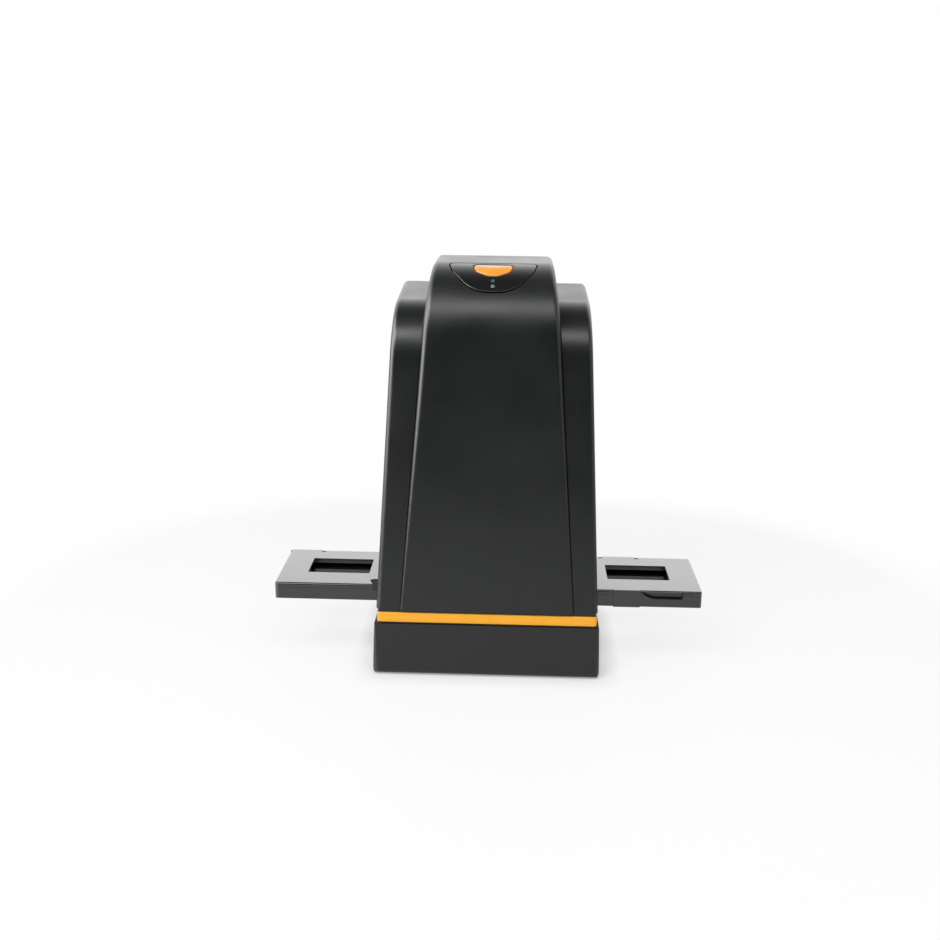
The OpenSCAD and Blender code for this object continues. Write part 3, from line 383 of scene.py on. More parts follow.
BLACK_SHELL = TexturedAbs("black_textured_abs", "#101212", 0.36)
PANEL_GRAIN, HOLDER_GRAIN = (Noise(size, roughness=0.6, low=0.3, high=0.7) for size in (0.4, 0.5))
BLACK_PANEL = TexturedAbs("black_fine_abs", "#121213", 0.24, relief=PANEL_GRAIN, relief_depth=0.003)
BLACK_BASE = TexturedAbs("black_base_abs", "#141415", 0.4)
BLACK_HOLDER = TexturedAbs("charcoal_holder_abs", "#161718", 0.22, relief=HOLDER_GRAIN, coat=0.7)
BLACK_INNER = TexturedAbs("black_matt_abs", "#121213", 0.6)
ORANGE_TRIM = PolishedAbs("orange_abs", "#f7ae1e", 0.3, "#efa114")
ORANGE_BUTTON = PolishedAbs("orange_gloss_abs", "#f09c40", 0.2, "#ea9130")
WHITE_REFLECTOR = TexturedAbs("white_reflector_abs", "#e9e9e6", 0.45)
LIGHT_PIPE = PolishedAbs("clear_light_pipe", "#3f5f93", 0.12, "#2f4a78")
LED_WHITE = PolishedAbs("led_epoxy", "#f3efcf", 0.2, "#e4dc9a")
PLUNGER_WHITE = TexturedAbs("plunger_nylon", "#c8c8c8", 0.45)
BLACK_BARREL = TexturedAbs("black_anodised_barrel", "#202022", 0.35)
CHIP_BLACK = TexturedAbs("moulded_epoxy", "#202124", 0.5)
ZINC = PlatedSteel("zinc_plated_steel", "#9a9da0", 0.32)
SPRING = PlatedSteel("spring_steel", "#b9bcc0", 0.24)
LENS_GLASS = CoatedGlass("coated_lens_glass", "#b8d4e0")
SENSOR_GLASS = CoatedGlass("sensor_cover_glass", "#4a545c", 0.08)


# ---- Meshes ----


def placed(name: str, data: bpy.types.ID) -> Piece:
    """Makes an object of a mesh, a lamp or a camera and puts it in the scene.

    Args:
        name: The object's name.
        data: What it is made of.

    Returns:
        The object.
    """
    thing = bpy.data.objects.new(name, data)
    bpy.context.scene.collection.objects.link(thing)
    return thing


def new_piece(name: str, mesh: bpy.types.Mesh, finish: Finish) -> Piece:
    """Makes an object of a mesh and puts it in the scene.

    Args:
        name: The piece's name.
        mesh: Its mesh.
        finish: What it is made of.

    Returns:
        The object.
    """
    mesh.materials.clear()
    mesh.materials.append(finish.material())
    return placed(name, mesh)


class Skin:
    """Collects surface points with the way each one faces, and the faces between them.

    Each smooth stretch has points of its own, so that its shading follows the true surface and
    stays crisp where two stretches meet.
    """

    def __init__(self) -> None:
        """Starts with nothing in it."""
        self.points: list[Vector] = []
        self.facing: list[Vector] = []
        self.faces: list[tuple[int, ...]] = []

    def put(self, spots: list[Facing]) -> list[int]:
        """Adds points.

        Args:
            spots: Place and facing direction of each point.

        Returns:
            The new points' numbers.
        """
        first = len(self.points)
        for place, way in spots:
            self.points.append(place.copy())
            self.facing.append(way.normalized())
        return list(range(first, len(self.points)))

    def face(self, corners: tuple[int, ...]) -> None:
        """Adds one face, turned so that its front is where its points face.

        Args:
            corners: The numbers of its points, in order.
        """
        a, b, c = (self.points[i] for i in corners[:3])
        normal = (b - a).cross(c - a)
        if len(corners) > 3 and normal.length < 1e-9:
            normal = geometry.normal([self.points[i] for i in corners])
        way = sum((self.facing[i] for i in corners), Vector())
        self.faces.append(corners if normal.dot(way) >= 0 else corners[::-1])

    def grid(self, rows: Rows) -> None:
        """Joins rows of equal length with four-sided faces.

        Args:
            rows: The rows of points.
        """
        ids = [self.put(row) for row in rows]
        for low, high in zip(ids, ids[1:]):
            for i in range(len(low) - 1):
                self.face((low[i], low[i + 1], high[i + 1], high[i]))

    def flat(self, outline: list[Vector], way: Vector) -> None:
        """Fills a flat outline, which may bend inwards, with triangles.

        Args:
            outline: Its points.
            way: The way that it faces.
        """
        ids = self.put([(point, way) for point in outline])
        for corners in geometry.tessellate_polygon([outline]):
            self.face(tuple(ids[i] for i in corners))

    def build(self, name: str, finish: Finish) -> Piece:
        """Makes the Blender object.

        Args:
            name: The piece's name.
            finish: What it is made of.

        Returns:
            The object, in metres, with its shading set from the facing directions.
        """
        mesh = bpy.data.meshes.new(name)
        mesh.from_pydata([point * MM for point in self.points], [], self.faces)
        mesh.polygons.foreach_set("use_smooth", [True] * len(mesh.polygons))
        mesh.normals_split_custom_set_from_vertices([tuple(way) for way in self.facing])
        mesh.update()
        return new_piece(name, mesh, finish)


def rim(edge: Edge, radius: float, depth: float, steps: int = 4) -> Rows:
    """Rolls an edge over and runs a wall down from it.

    Args:
        edge: The sharp edge.
        radius: How far it is rounded.
        depth: How far the wall goes down.
        steps: Number of facets round it.

    Returns:
        Rows of points from the face to the wall's foot, for Skin.grid.
    """
    rows: Rows = []
    for k in range(steps + 1):
        turn = math.pi / 2 * k / steps
        cos, sin = math.cos(turn), math.sin(turn)
        row = []
        for place, along, out, down in edge:
            heart = place + along * radius + down * radius
            facing = out * cos - along.normalized() * sin
            row.append((heart + (-down * cos - along * sin) * radius, facing))
        rows.append(row)
    rows.append([(place + down * depth, -along) for place, along, _, down in edge])
    return rows


def softened(node: str, name: str, finish: Finish, width: float, angle: float = 30.0) -> Piece:
    """Copies a solid and rounds its sharp edges a little.

    Args:
        node: The solid's name.
        name: The new piece's name.
        finish: What it is made of.
        width: How far its edges are rounded.
        angle: How sharp an edge must be to be rounded.

    Returns:
        The new piece, which stands for the solid.
    """
    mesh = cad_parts[node].data.copy()
    mesh.name = name
    work = bmesh.new()
    work.from_mesh(mesh)
    bmesh.ops.remove_doubles(work, verts=work.verts, dist=WELD * MM)
    work.to_mesh(mesh)
    work.free()
    mesh.polygons.foreach_set("use_smooth", [True] * len(mesh.polygons))
    mesh.set_sharp_from_angle(angle=math.radians(angle))
    piece = new_piece(name, mesh, finish)
    edge = piece.modifiers.new("moulded_edge", "BEVEL")
    edge.width, edge.segments = width * MM, 3
    edge.limit_method, edge.angle_limit = "ANGLE", math.radians(angle)
    edge.miter_outer = "MITER_ARC"
    shading = piece.modifiers.new("even_shading", "WEIGHTED_NORMAL")
    shading.weight, shading.keep_sharp = 100, True
    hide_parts(node)
    return piece


# ---- Outlines ----


@dataclass(frozen=True)
class Station:
    """One place on a side-view outline: where it is, which way it faces, how far along it lies."""

    place: Vector
    way: Vector
    along: float

    @property
    def onward(self) -> Vector:
        """The direction along the outline, from its front foot to its back foot."""
        return Vector((0, self.way.z, -self.way.y))

    def spot(self, x: float) -> Facing:
        """The point this far to the right, and the way that it faces."""
        return self.place + Vector((x, 0, 0)), self.way


@dataclass(frozen=True)
class SideOutline:
    """A leaning front and back joined over the top by two arcs, seen from the side."""

    front: float
    back: float
    front_r: float
    back_r: float
    front_lean: float
    back_lean: float
    top: float
    fall: float
    foot: float

    @staticmethod
    def facing(angle: float) -> Vector:
        """The direction at this angle, from level at the front up and over to the back."""
        return Vector((0, -math.cos(math.radians(angle)), math.sin(math.radians(angle))))

    @property
    def front_heart(self) -> Vector:
        """Finds the middle of the front arc.

        Returns:
            The place, in the side view.
        """
        z, lean = self.top - self.fall - self.front_r, math.radians(self.front_lean)
        y = self.front + (z - self.foot) * math.tan(lean) + self.front_r / math.cos(lean)
        return Vector((0, y, z))

    @property
    def back_heart(self) -> Vector:
        """Finds the middle of the back arc.

        Returns:
            The place, in the side view.
        """
        z, lean = self.top - self.back_r, math.radians(self.back_lean)
        y = self.back - (z - self.foot) * math.tan(lean) - self.back_r / math.cos(lean)
        return Vector((0, y, z))

    @property
    def top_angle(self) -> float:
        """Finds how the straight top between the arcs faces.

        Returns:
            Its angle, for facing.
        """
        run = self.back_heart - self.front_heart
        lift = (self.front_r - self.back_r) / run.length
        level = run.normalized()
        up = Vector((0, -level.z, level.y))
        way = level * lift + up * math.sqrt(1 - lift * lift)
        return math.degrees(math.atan2(way.z, -way.y))

    def legs(self) -> list[tuple[float, Vector, float, float, float]]:
        """Lists the stretches from the front foot to the back foot.

        Returns:
            Length, heart, radius and the angles at both ends of each stretch.
        """
        a, b, c = self.front_lean, self.top_angle, 180 - self.back_lean
        front, back = self.front_heart, self.back_heart
        rise = front + self.facing(a) * self.front_r - Vector((0, self.front, self.foot))
        over = (back + self.facing(b) * self.back_r) - (front + self.facing(b) * self.front_r)
        drop = Vector((0, self.back, self.foot)) - back - self.facing(c) * self.back_r
        return [
            (rise.length, front, self.front_r, a, a),
            (math.radians(b - a) * self.front_r, front, self.front_r, a, b),
            (over.length, back, self.back_r, b, b),
            (math.radians(c - b) * self.back_r, back, self.back_r, b, c),
            (drop.length, back, self.back_r, c, c),
        ]

    @property
    def length(self) -> float:
        """Length of the whole outline."""
        return sum(leg[0] for leg in self.legs())

    def at(self, along: float) -> Station:
        """Finds a place on the outline.

        Args:
            along: How far it lies from the front foot.

        Returns:
            The station there. Beyond either foot the straight stretch goes on.
        """
        rest, legs = along, self.legs()
        for length, heart, radius, start, end in legs:
            last = heart is legs[-1][1] and start == end == legs[-1][3]
            if rest <= length or last:
                break
            rest -= length
        if start != end:
            way = self.facing(start + (end - start) * rest / length)
            return Station(heart + way * radius, way, along)
        way = self.facing(start)
        run = Vector((0, way.z, -way.y)) * (rest if last else rest - length)
        return Station(heart + way * radius + run, way, along)

    def edge(self, loop: Loop, sign: float = 1.0, down: float = 0.0) -> Edge:
        """Turns a loop on the surface into an edge for rim.

        Args:
            loop: Its points, as distances across and along, and directions out of it.
            sign: 1 where the face lies outside the loop, -1 where it lies inside.
            down: How deep the edge lies under the surface.

        Returns:
            The edge, closed by repeating its first point.
        """
        edge = []
        for x, along, ox, oy in loop + loop[:1]:
            at = self.at(along)
            way = (Vector((ox, 0, 0)) + at.onward * oy).normalized() * sign
            edge.append((at.spot(x)[0] - at.way * down, way, at.way, -at.way))
        return edge

    def along_front_arc(self, angle: float) -> float:
        """Gives how far along the front arc's point at this angle lies."""
        return self.legs()[0][0] + math.radians(angle - self.front_lean) * self.front_r

    def at_back_height(self, z: float) -> float:
        """Gives how far along the leaning back reaches this height."""
        return self.length - (z - self.foot) / math.cos(math.radians(self.back_lean))

    def stations(
        self, start: float, end: float, run: float = 9.0, arc: float = 1.5
    ) -> list[Station]:
        """Lists places from start to end, close together on the arcs.

        Args:
            start: Where the list begins, as a length along the outline.
            end: Where it ends.
            run: Spacing on straight stretches.
            arc: Spacing on the arcs, in degrees.

        Returns:
            The stations, with one wherever a stretch ends.
        """
        marks = [start]
        seen = 0.0
        for length, _, radius, first, last in self.legs():
            step = run if first == last else math.radians(arc) * radius
            low, high = max(start, seen), min(end, seen + length)
            if high > low:
                count = max(1, math.ceil((high - low) / step))
                marks += [low + (high - low) * (i + 1) / count for i in range(count)]
            seen += length
        return [self.at(mark) for mark in marks]


@dataclass(frozen=True)
class LeaningSide:
    """A side that leans inwards from a half width at the foot, and more so near the top."""

    half: float
    lean: float
    foot: float
    crown: float = 0.0
    crown_from: float = 185.0

    def at(self, z: float) -> float:
        """Half width at this height."""
        crown = self.crown * max(0.0, z - self.crown_from) ** 2
        return self.half - (z - self.foot) * math.tan(math.radians(self.lean)) - crown

    @property
    def way(self) -> Vector:
        """The direction that the right-hand side faces."""
        return Vector((math.cos(math.radians(self.lean)), 0, math.sin(math.radians(self.lean))))


def flip(point: Vector, side: int) -> Vector:
    """Mirrors a point of the right-hand side to the given side, -1 or 1."""
    return Vector((point.x * side, point.y, point.z))


def flipped(rows: Rows, side: int) -> Rows:
    """Mirrors rows of right-hand points to the given side, -1 or 1."""
    return [[(flip(place, side), flip(way, side)) for place, way in row] for row in rows]


def shoulder_roll(at: Station, side: LeaningSide, radius: float, steps: int = 7) -> list[Facing]:
    """Rounds the corner between an outline's surface and a leaning side.

    Args:
        at: The place on the outline.
        side: The leaning side, on the right.
        radius: Radius of the rounding.
        steps: Number of facets round it.

    Returns:
        Points from the outline's surface to the side.
    """
    heart = at.place - at.way * radius
    heart.x = side.at(heart.z) - radius / math.cos(math.radians(side.lean))
    span = at.way.angle(side.way)
    ring = []
    for k in range(steps + 1):
        turn = span * k / steps
        way = (at.way * math.sin(span - turn) + side.way * math.sin(turn)) / math.sin(span)
        ring.append((heart + way * radius, way))
    return ring


def belt_loop(discs: list[Triple], grow: float, step: float = 12.0) -> Loop:
    """Runs a belt round discs that are listed anticlockwise.

    Args:
        discs: Middle and radius of each disc, in a plan.
        grow: How far the belt stands off the discs.
        step: Spacing on the arcs, in degrees.

    Returns:
        The belt's points.
    """
    ways = []
    for (ax, ay, ar), (bx, by, br) in zip(discs, discs[1:] + discs[:1]):
        run = Vector((bx - ax, by - ay))
        lift = (ar - br) / run.length
        along = run.normalized()
        across = Vector((along.y, -along.x))
        way = along * lift + across * math.sqrt(1 - lift * lift)
        ways.append(math.atan2(way.y, way.x))
    loop = []
    for (x, y, r), first, last in zip(discs, ways[-1:] + ways, ways):
        while last < first - 1e-9:
            last += 2 * math.pi
        pieces = max(1, math.ceil(math.degrees(last - first) / step))
        for k in range(pieces + 1):
            turn = first + (last - first) * k / pieces
            cos, sin = math.cos(turn), math.sin(turn)
            loop.append((x + cos * (r + grow), y + sin * (r + grow), cos, sin))
    return loop


def both_sides(discs: list[Triple]) -> list[Triple]:
    """Adds the left-hand images to discs that are listed up the right-hand side."""
    left = [(-x, y, r) for x, y, r in discs]
    return left[:1] + discs + left[:0:-1]


def box_loop(half: Pair, corner: float, grow: float = 0.0, step: float = 12.0) -> Loop:
    """Draws a rectangle with round corners.

    Args:
        half: Half its width and half its depth.
        corner: Radius of its corners.
        grow: How far the loop stands off it.
        step: Spacing on the corners, in degrees.

    Returns:
        The loop's points.
    """
    x, y = half[0] - corner, half[1] - corner
    return belt_loop(both_sides([(x, -y, corner), (x, y, corner)]), grow, step)


def densify(loop: Loop, step: float) -> Loop:
    """Adds points to a belt's long straight runs.

    Args:
        loop: The belt's points.
        step: The widest spacing that is left.

    Returns:
        The loop with its long runs divided.
    """
    full = []
    for point, after in zip(loop, loop[1:] + loop[:1]):
        count = max(1, math.ceil(math.dist(point[:2], after[:2]) / step))
        for k in range(count):
            full.append(tuple(p + (q - p) * k / count for p, q in zip(point, after)))
    return full


@dataclass(frozen=True)
class CurvedPlan:
    """A plan drawn square to a cylinder that runs from side to side, and laid onto it."""

    outline: SideOutline
    radius: float
    tilt: float

    def angle(self, y: float) -> float:
        """The outline's angle under the plan's height y up the slope."""
        return 90 - self.tilt + math.degrees(math.asin(y / self.radius))

    def laid(self, loop: Loop) -> Loop:
        """Lays a loop out flat, as distances across and distances along the outline."""
        return [(x, self.outline.along_front_arc(self.angle(y)), ox, oy) for x, y, ox, oy in loop]

    def sheets(self, loop: Loop) -> list[Pair]:
        """Lays a loop out flat, without its directions."""
        return [point[:2] for point in self.laid(loop)]

    def edge(self, loop: Loop, sign: float = 1.0) -> Edge:
        """Turns a loop into an edge for rim, with a sign of -1 where the face lies inside it."""
        return self.outline.edge(self.laid(loop), sign)

    def spot(self, x: float, y: float, lift: float = 0.0) -> Facing:
        """The point over a plan point, lifted off the cylinder, and the way that it faces."""
        out = SideOutline.facing(self.angle(y))
        return self.outline.front_heart + out * (self.radius + lift) + Vector((x, 0, 0)), out


def inside(point: Pair, loop: list[Pair]) -> bool:
    """Tells whether a point lies inside a closed loop.

    Args:
        point: The point.
        loop: The loop's corners.

    Returns:
        True if it does.
    """
    x, y = point
    hit = False
    for (ax, ay), (bx, by) in zip(loop, loop[1:] + loop[:1]):
        if (ay > y) != (by > y) and x < (bx - ax) * (y - ay) / (by - ay) + ax:
            hit = not hit
    return hit


def pierced_sheet(
    skin: Skin, outline: SideOutline, border: list[Pair], seeds: list[Pair], holes: list[list[Pair]]
) -> None:
    """Covers a stretch of an outline's surface, with holes in it.

    Args:
        skin: What takes the faces.
        outline: The side view that the surface follows.
        border: The stretch's edge, as distances across and along.
        seeds: Points inside it, which keep its triangles small.
        holes: The edges of the holes, in the same measures.
    """
    clear = 0.9  # how far seeds keep from a hole's edge
    spots: list[Pair] = []
    links: list[tuple[int, int]] = []
    for loop in [border] + holes:
        first = len(spots)
        spots += loop
        links += [(first + i, first + (i + 1) % len(loop)) for i in range(len(loop))]
    for seed in seeds:
        free = not any(
            inside(seed, hole) or any(math.dist(seed, other) < clear for other in hole)
            for hole in holes
        )
        if free and inside(seed, border):
            spots.append(seed)
    points = [Vector(spot) for spot in spots]
    made, _, triangles, *_ = geometry.delaunay_2d_cdt(points, links, [], 1, 1e-5)
    ids = skin.put([outline.at(along).spot(x) for x, along in made])
    for corners in triangles:
        middle = tuple(sum(made[i][k] for i in corners) / 3 for k in (0, 1))
        if inside(middle, border) and not any(inside(middle, hole) for hole in holes):
            skin.face(tuple(ids[i] for i in corners))


# ---- The object's parts ----


@dataclass(frozen=True)
class Sizes:
    """Sizes that the tower's parts share."""

    body_foot: float = 36.7
    casing_half: float = 58.95
    cover_half: float = 46.05
    cover_reach: float = 48.65
    shoulder_reach: float = 47.75
    tower_h: float = 216.5
    shoulder_h: float = 202.0
    slot_front: float = -37.6
    slot_back: float = 19.6
    slot_top: float = 47.5
    wall: float = 2.2
    seam: float = 0.15
    rear_seam: float = 190.5
    cover_r: float = 35.0
    cover_back_r: float = 10.0
    cover_leans: Pair = (2.4, 3.5)
    shoulder_arcs: Pair = (28.0, 8.0)
    shoulder_leans: Pair = (3.2, 4.2)
    usb_z: float = 46.7

    @property
    def shoulder(self) -> SideOutline:
        """Side view of the shoulders."""
        ends, leans = (-self.shoulder_reach, self.shoulder_reach), self.shoulder_leans
        return SideOutline(*ends, *self.shoulder_arcs, *leans, self.shoulder_h, 4.0, self.body_foot)

    @property
    def cover(self) -> SideOutline:
        """Side view of the centre cover."""
        ends, arcs = (-self.cover_reach, self.cover_reach), (self.cover_r, self.cover_back_r)
        return SideOutline(*ends, *arcs, *self.cover_leans, self.tower_h, 0.0, self.body_foot)

    @property
    def cheek(self) -> LeaningSide:
        """The casings' outer side."""
        return LeaningSide(self.casing_half, lean=3.0, foot=self.body_foot)

    @property
    def cover_side(self) -> LeaningSide:
        """The centre cover's side."""
        return LeaningSide(self.cover_half, lean=4.25, foot=self.body_foot, crown=0.0015)


class Hand(Enum):
    """Which side of the tower a casing is on."""

    LEFT = -1
    RIGHT = 1


@dataclass
class SideCasing:
    """One side casing: shoulder, rolled outer edge, flat cheek with the holder's slot, returns."""

    hand: Hand
    sizes: Sizes
    roll: float = 3.0
    crisp: float = 0.4
    seam_edge: float = 0.15
    return_depth: float = 6.0
    slot_corner: float = 1.2

    def stations(self) -> list[Station]:
        """Places along the shoulder, clear of its rounded feet."""
        shape = self.sizes.shoulder
        return shape.stations(self.crisp, shape.length - self.crisp)

    def shoulder_rows(self) -> Rows:
        """Lists rows across the shoulder.

        Returns:
            One row a station, from beside the cover to the cheek.
        """
        rows = []
        for at in self.stations():
            roll = shoulder_roll(at, self.sizes.cheek, self.roll)
            start = self.sizes.cover_side.at(at.place.z) + self.sizes.seam + self.seam_edge
            span = roll[0][0].x - start
            rows.append([at.spot(start + span * k / 4) for k in range(4)] + roll)
        return rows

    def inner_edge(self) -> Edge:
        """Finds the edge beside the centre cover, where the return turns in.

        Returns:
            The edge, for rim.
        """
        cover = self.sizes.cover_side
        slope = math.tan(math.radians(cover.lean))
        edge = []
        for at in self.stations():
            place = at.spot(cover.at(at.place.z) + self.sizes.seam)[0]
            down = Vector((slope * at.way.z, -at.way.y, -at.way.z)).normalized()
            edge.append((place, Vector((1, 0, 0)), at.way, down))
        return edge

    def slot_path(self) -> list[Facing]:
        """Finds the cheek's lower edge with the holder's slot.

        Returns:
            Each point with the way into the cheek.
        """
        s, r = self.sizes, self.slot_corner
        shape, cheek = s.shoulder, s.cheek
        path = [(shape.at(0).place.y + self.roll, s.body_foot, 0, 1)]
        for y, z, start, turn in (
            (s.slot_front - r, s.body_foot + r, -90, 1),
            (s.slot_front + r, s.slot_top - r, 180, -1),
            (s.slot_back - r, s.slot_top - r, 90, -1),
            (s.slot_back + r, s.body_foot + r, 180, 1),
        ):
            for k in range(5):
                angle = math.radians(start + turn * 90 * k / 4)
                cos, sin = math.cos(angle), math.sin(angle)
                path.append((y + r * cos, z + r * sin, -turn * cos, -turn * sin))
        path.append((shape.at(shape.length).place.y - self.roll, s.body_foot, 0, 1))
        rise = Vector((-cheek.way.z, 0, cheek.way.x))
        return [
            (Vector((cheek.at(z), y, z)), Vector((0, ay, 0)) + rise * az) for y, z, ay, az in path
        ]

    def build(self) -> Piece:
        """Builds the casing and lets it stand for its solid.

        Returns:
            The casing.
        """
        skin, s, side = Skin(), self.sizes, self.hand.value
        rows = self.shoulder_rows()
        skin.grid(flipped(rows, side))
        skin.grid(flipped(rim(self.inner_edge(), self.seam_edge, self.return_depth), side))
        out = s.cheek.way
        slot = self.slot_path()
        outline = [row[-1][0] for row in rows]
        low = [place + along * self.crisp for place, along in slot]
        skin.flat([flip(point, side) for point in outline + low[::-1]], flip(out, side))
        slot_edge = [(place, along, out, -out) for place, along in slot]
        skin.grid(flipped(rim(slot_edge, self.crisp, s.wall), side))
        for row, along, onward in ((rows[0], 0, 1), (rows[-1], s.shoulder.length, -1)):
            up = s.shoulder.at(along).onward * onward
            foot = [(place - up * self.crisp, up, way, -way) for place, way in row]
            skin.grid(flipped(rim(foot, self.crisp, s.wall), side))
        name = self.hand.name.lower() + "_casing_shell"
        piece = skin.build(name, BLACK_SHELL)
        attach(piece, "tower")
        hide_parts(self.hand.name.lower() + "_casing")
        return piece


@dataclass
class CentreCover:
    """The centre cover: one moulding for front and top, another for the rear below the seam."""

    sizes: Sizes
    panel: "ButtonPanel"
    roll: float = 3.4
    foot_roll: float = 1.3
    full_roll_z: float = 150.0
    crisp: float = 0.3
    tuck: float = 6.0
    opening_depth: float = 2.6
    port_half: Pair = (6.85, 4.35)
    port_depth: float = 0.8
    port_crisp: float = 0.2
    port_corner: float = 0.8
    window_half: Pair = (4.45, 2.55)
    window_depth: float = 1.6

    def rolled(self, at: Station) -> list[Facing]:
        """Rounds the right-hand side edge, more so from the foot up.

        Args:
            at: The place on the cover's outline.

        Returns:
            Points from the surface to the side.
        """
        foot = self.sizes.body_foot
        part = min(1.0, max(0.0, (at.place.z - foot) / (self.full_roll_z - foot)))
        radius = self.foot_roll + (self.roll - self.foot_roll) * part
        return shoulder_roll(at, self.sizes.cover_side, radius)

    def surface(self, skin: Skin, start: float, end: float, hole: list[Pair]) -> list[Vector]:
        """Covers a stretch between its rounded edges, and adds those edges.

        Args:
            skin: What takes the faces.
            start: Where the stretch begins along the outline.
            end: Where it ends.
            hole: The edge of the hole in it, as distances across and along.

        Returns:
            Where the right-hand rounded edge meets the side.
        """
        shape, columns = self.sizes.cover, 18
        stations = shape.stations(start, end)
        rolls = [self.rolled(at) for at in stations]
        for side in (-1, 1):
            skin.grid(flipped(rolls, side))
        right = [(roll[0][0].x, at.along) for roll, at in zip(rolls, stations)]
        left = [(-x, along) for x, along in right]
        parts = [2 * k / columns - 1 for k in range(1, columns)]
        seeds = [(x * part, along) for x, along in right[1:-1] for part in parts]
        bottom = [(right[0][0] * part, start) for part in parts]
        top = [(-right[-1][0] * part, end) for part in parts]
        pierced_sheet(skin, shape, bottom + right + top + left[::-1], seeds, [hole])
        return [roll[-1][0] for roll in rolls]

    def sides(self, skin: Skin, outer: list[Vector], front: bool) -> None:
        """Fills the flat sides from the rounded edges in, to below the shoulders.

        Args:
            skin: What takes the faces.
            outer: Where the right-hand rounded edge meets the side.
            front: Whether this is the front moulding's side.
        """
        s, inner = self.sizes, []
        for at in s.shoulder.stations(0, s.shoulder.length):
            place = at.place - at.way * self.tuck
            place.x = s.cover_side.at(place.z)
            behind = place.y > s.cover_reach / 2 and place.z < s.rear_seam
            if behind != front:
                inner.append(place)
        for side in (-1, 1):
            outline = [flip(point, side) for point in outer + inner[::-1]]
            skin.flat(outline, flip(s.cover_side.way, side))

    def end(self, skin: Skin, along: float, onward: int) -> None:
        """Rolls over the open end of a stretch.

        Args:
            skin: What takes the faces.
            along: Where the sharp end lies along the outline.
            onward: 1 if the stretch lies beyond it, -1 if before it.
        """
        at = self.sizes.cover.at(along + onward * self.crisp)
        roll = self.rolled(at)
        up = at.onward * onward
        half = roll[0][0].x
        across = [at.spot(-half + 2 * half * k / 8) for k in range(1, 8)]
        row = flipped([roll[::-1]], -1)[0] + across + roll
        edge = [(place - up * self.crisp, up, way, -way) for place, way in row]
        skin.grid(rim(edge, self.crisp, self.sizes.wall))

    def port_loop(self, half: Pair, grow: float = 0.0) -> Loop:
        """Draws a loop round the cable socket.

        Args:
            half: Half its width and half its height.
            grow: How far it stands off that.

        Returns:
            The loop, as distances across and along.
        """
        middle = self.sizes.cover.at_back_height(self.sizes.usb_z)
        loop = box_loop(half, self.port_corner, grow, 20)
        return [(x, middle + y, ox, oy) for x, y, ox, oy in loop]

    def port(self, skin: Skin) -> None:
        """Sinks the place round the cable socket and opens the window in it.

        Args:
            skin: What takes the faces.
        """
        cover, depth, loop = self.sizes.cover, self.port_depth, self.port_loop(self.port_half)
        skin.grid(rim(cover.edge(loop), self.crisp, depth))
        window = cover.edge(self.port_loop(self.window_half), down=depth)
        outer = [(place, out) for place, _, out, _ in cover.edge(loop, down=depth)]
        inner = [(place + way * self.port_crisp, out) for place, way, out, _ in window]
        skin.grid([outer, inner])
        skin.grid(rim(window, self.port_crisp, self.window_depth))

    def build(self) -> list[Piece]:
        """Builds both mouldings and lets them stand for their solids.

        Returns:
            The front moulding and the rear one.
        """
        s = self.sizes
        seam = s.cover.at_back_height(s.rear_seam)
        before, beyond = seam - s.seam / 2, seam + s.seam / 2
        front = Skin()
        hole = self.panel.opening(self.crisp)
        outer = self.surface(front, self.crisp, before - self.crisp, hole)
        front.grid(rim(self.panel.opening_edge(), self.crisp, self.opening_depth))
        self.sides(front, outer, True)
        self.end(front, 0, 1)
        self.end(front, before, -1)
        top = front.build("centre_cover_shell", BLACK_SHELL)
        rear = Skin()
        hole = [point[:2] for point in self.port_loop(self.port_half, self.crisp)]
        outer = self.surface(rear, beyond + self.crisp, s.cover.length - self.crisp, hole)
        self.port(rear)
        self.sides(rear, outer, False)
        self.end(rear, beyond, 1)
        self.end(rear, s.cover.length, -1)
        back = rear.build("rear_cover_shell", BLACK_SHELL)
        for piece, node in ((top, "centre_cover"), (back, "rear_cover")):
            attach(piece, "tower")
            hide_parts(node)
        return [top, back]


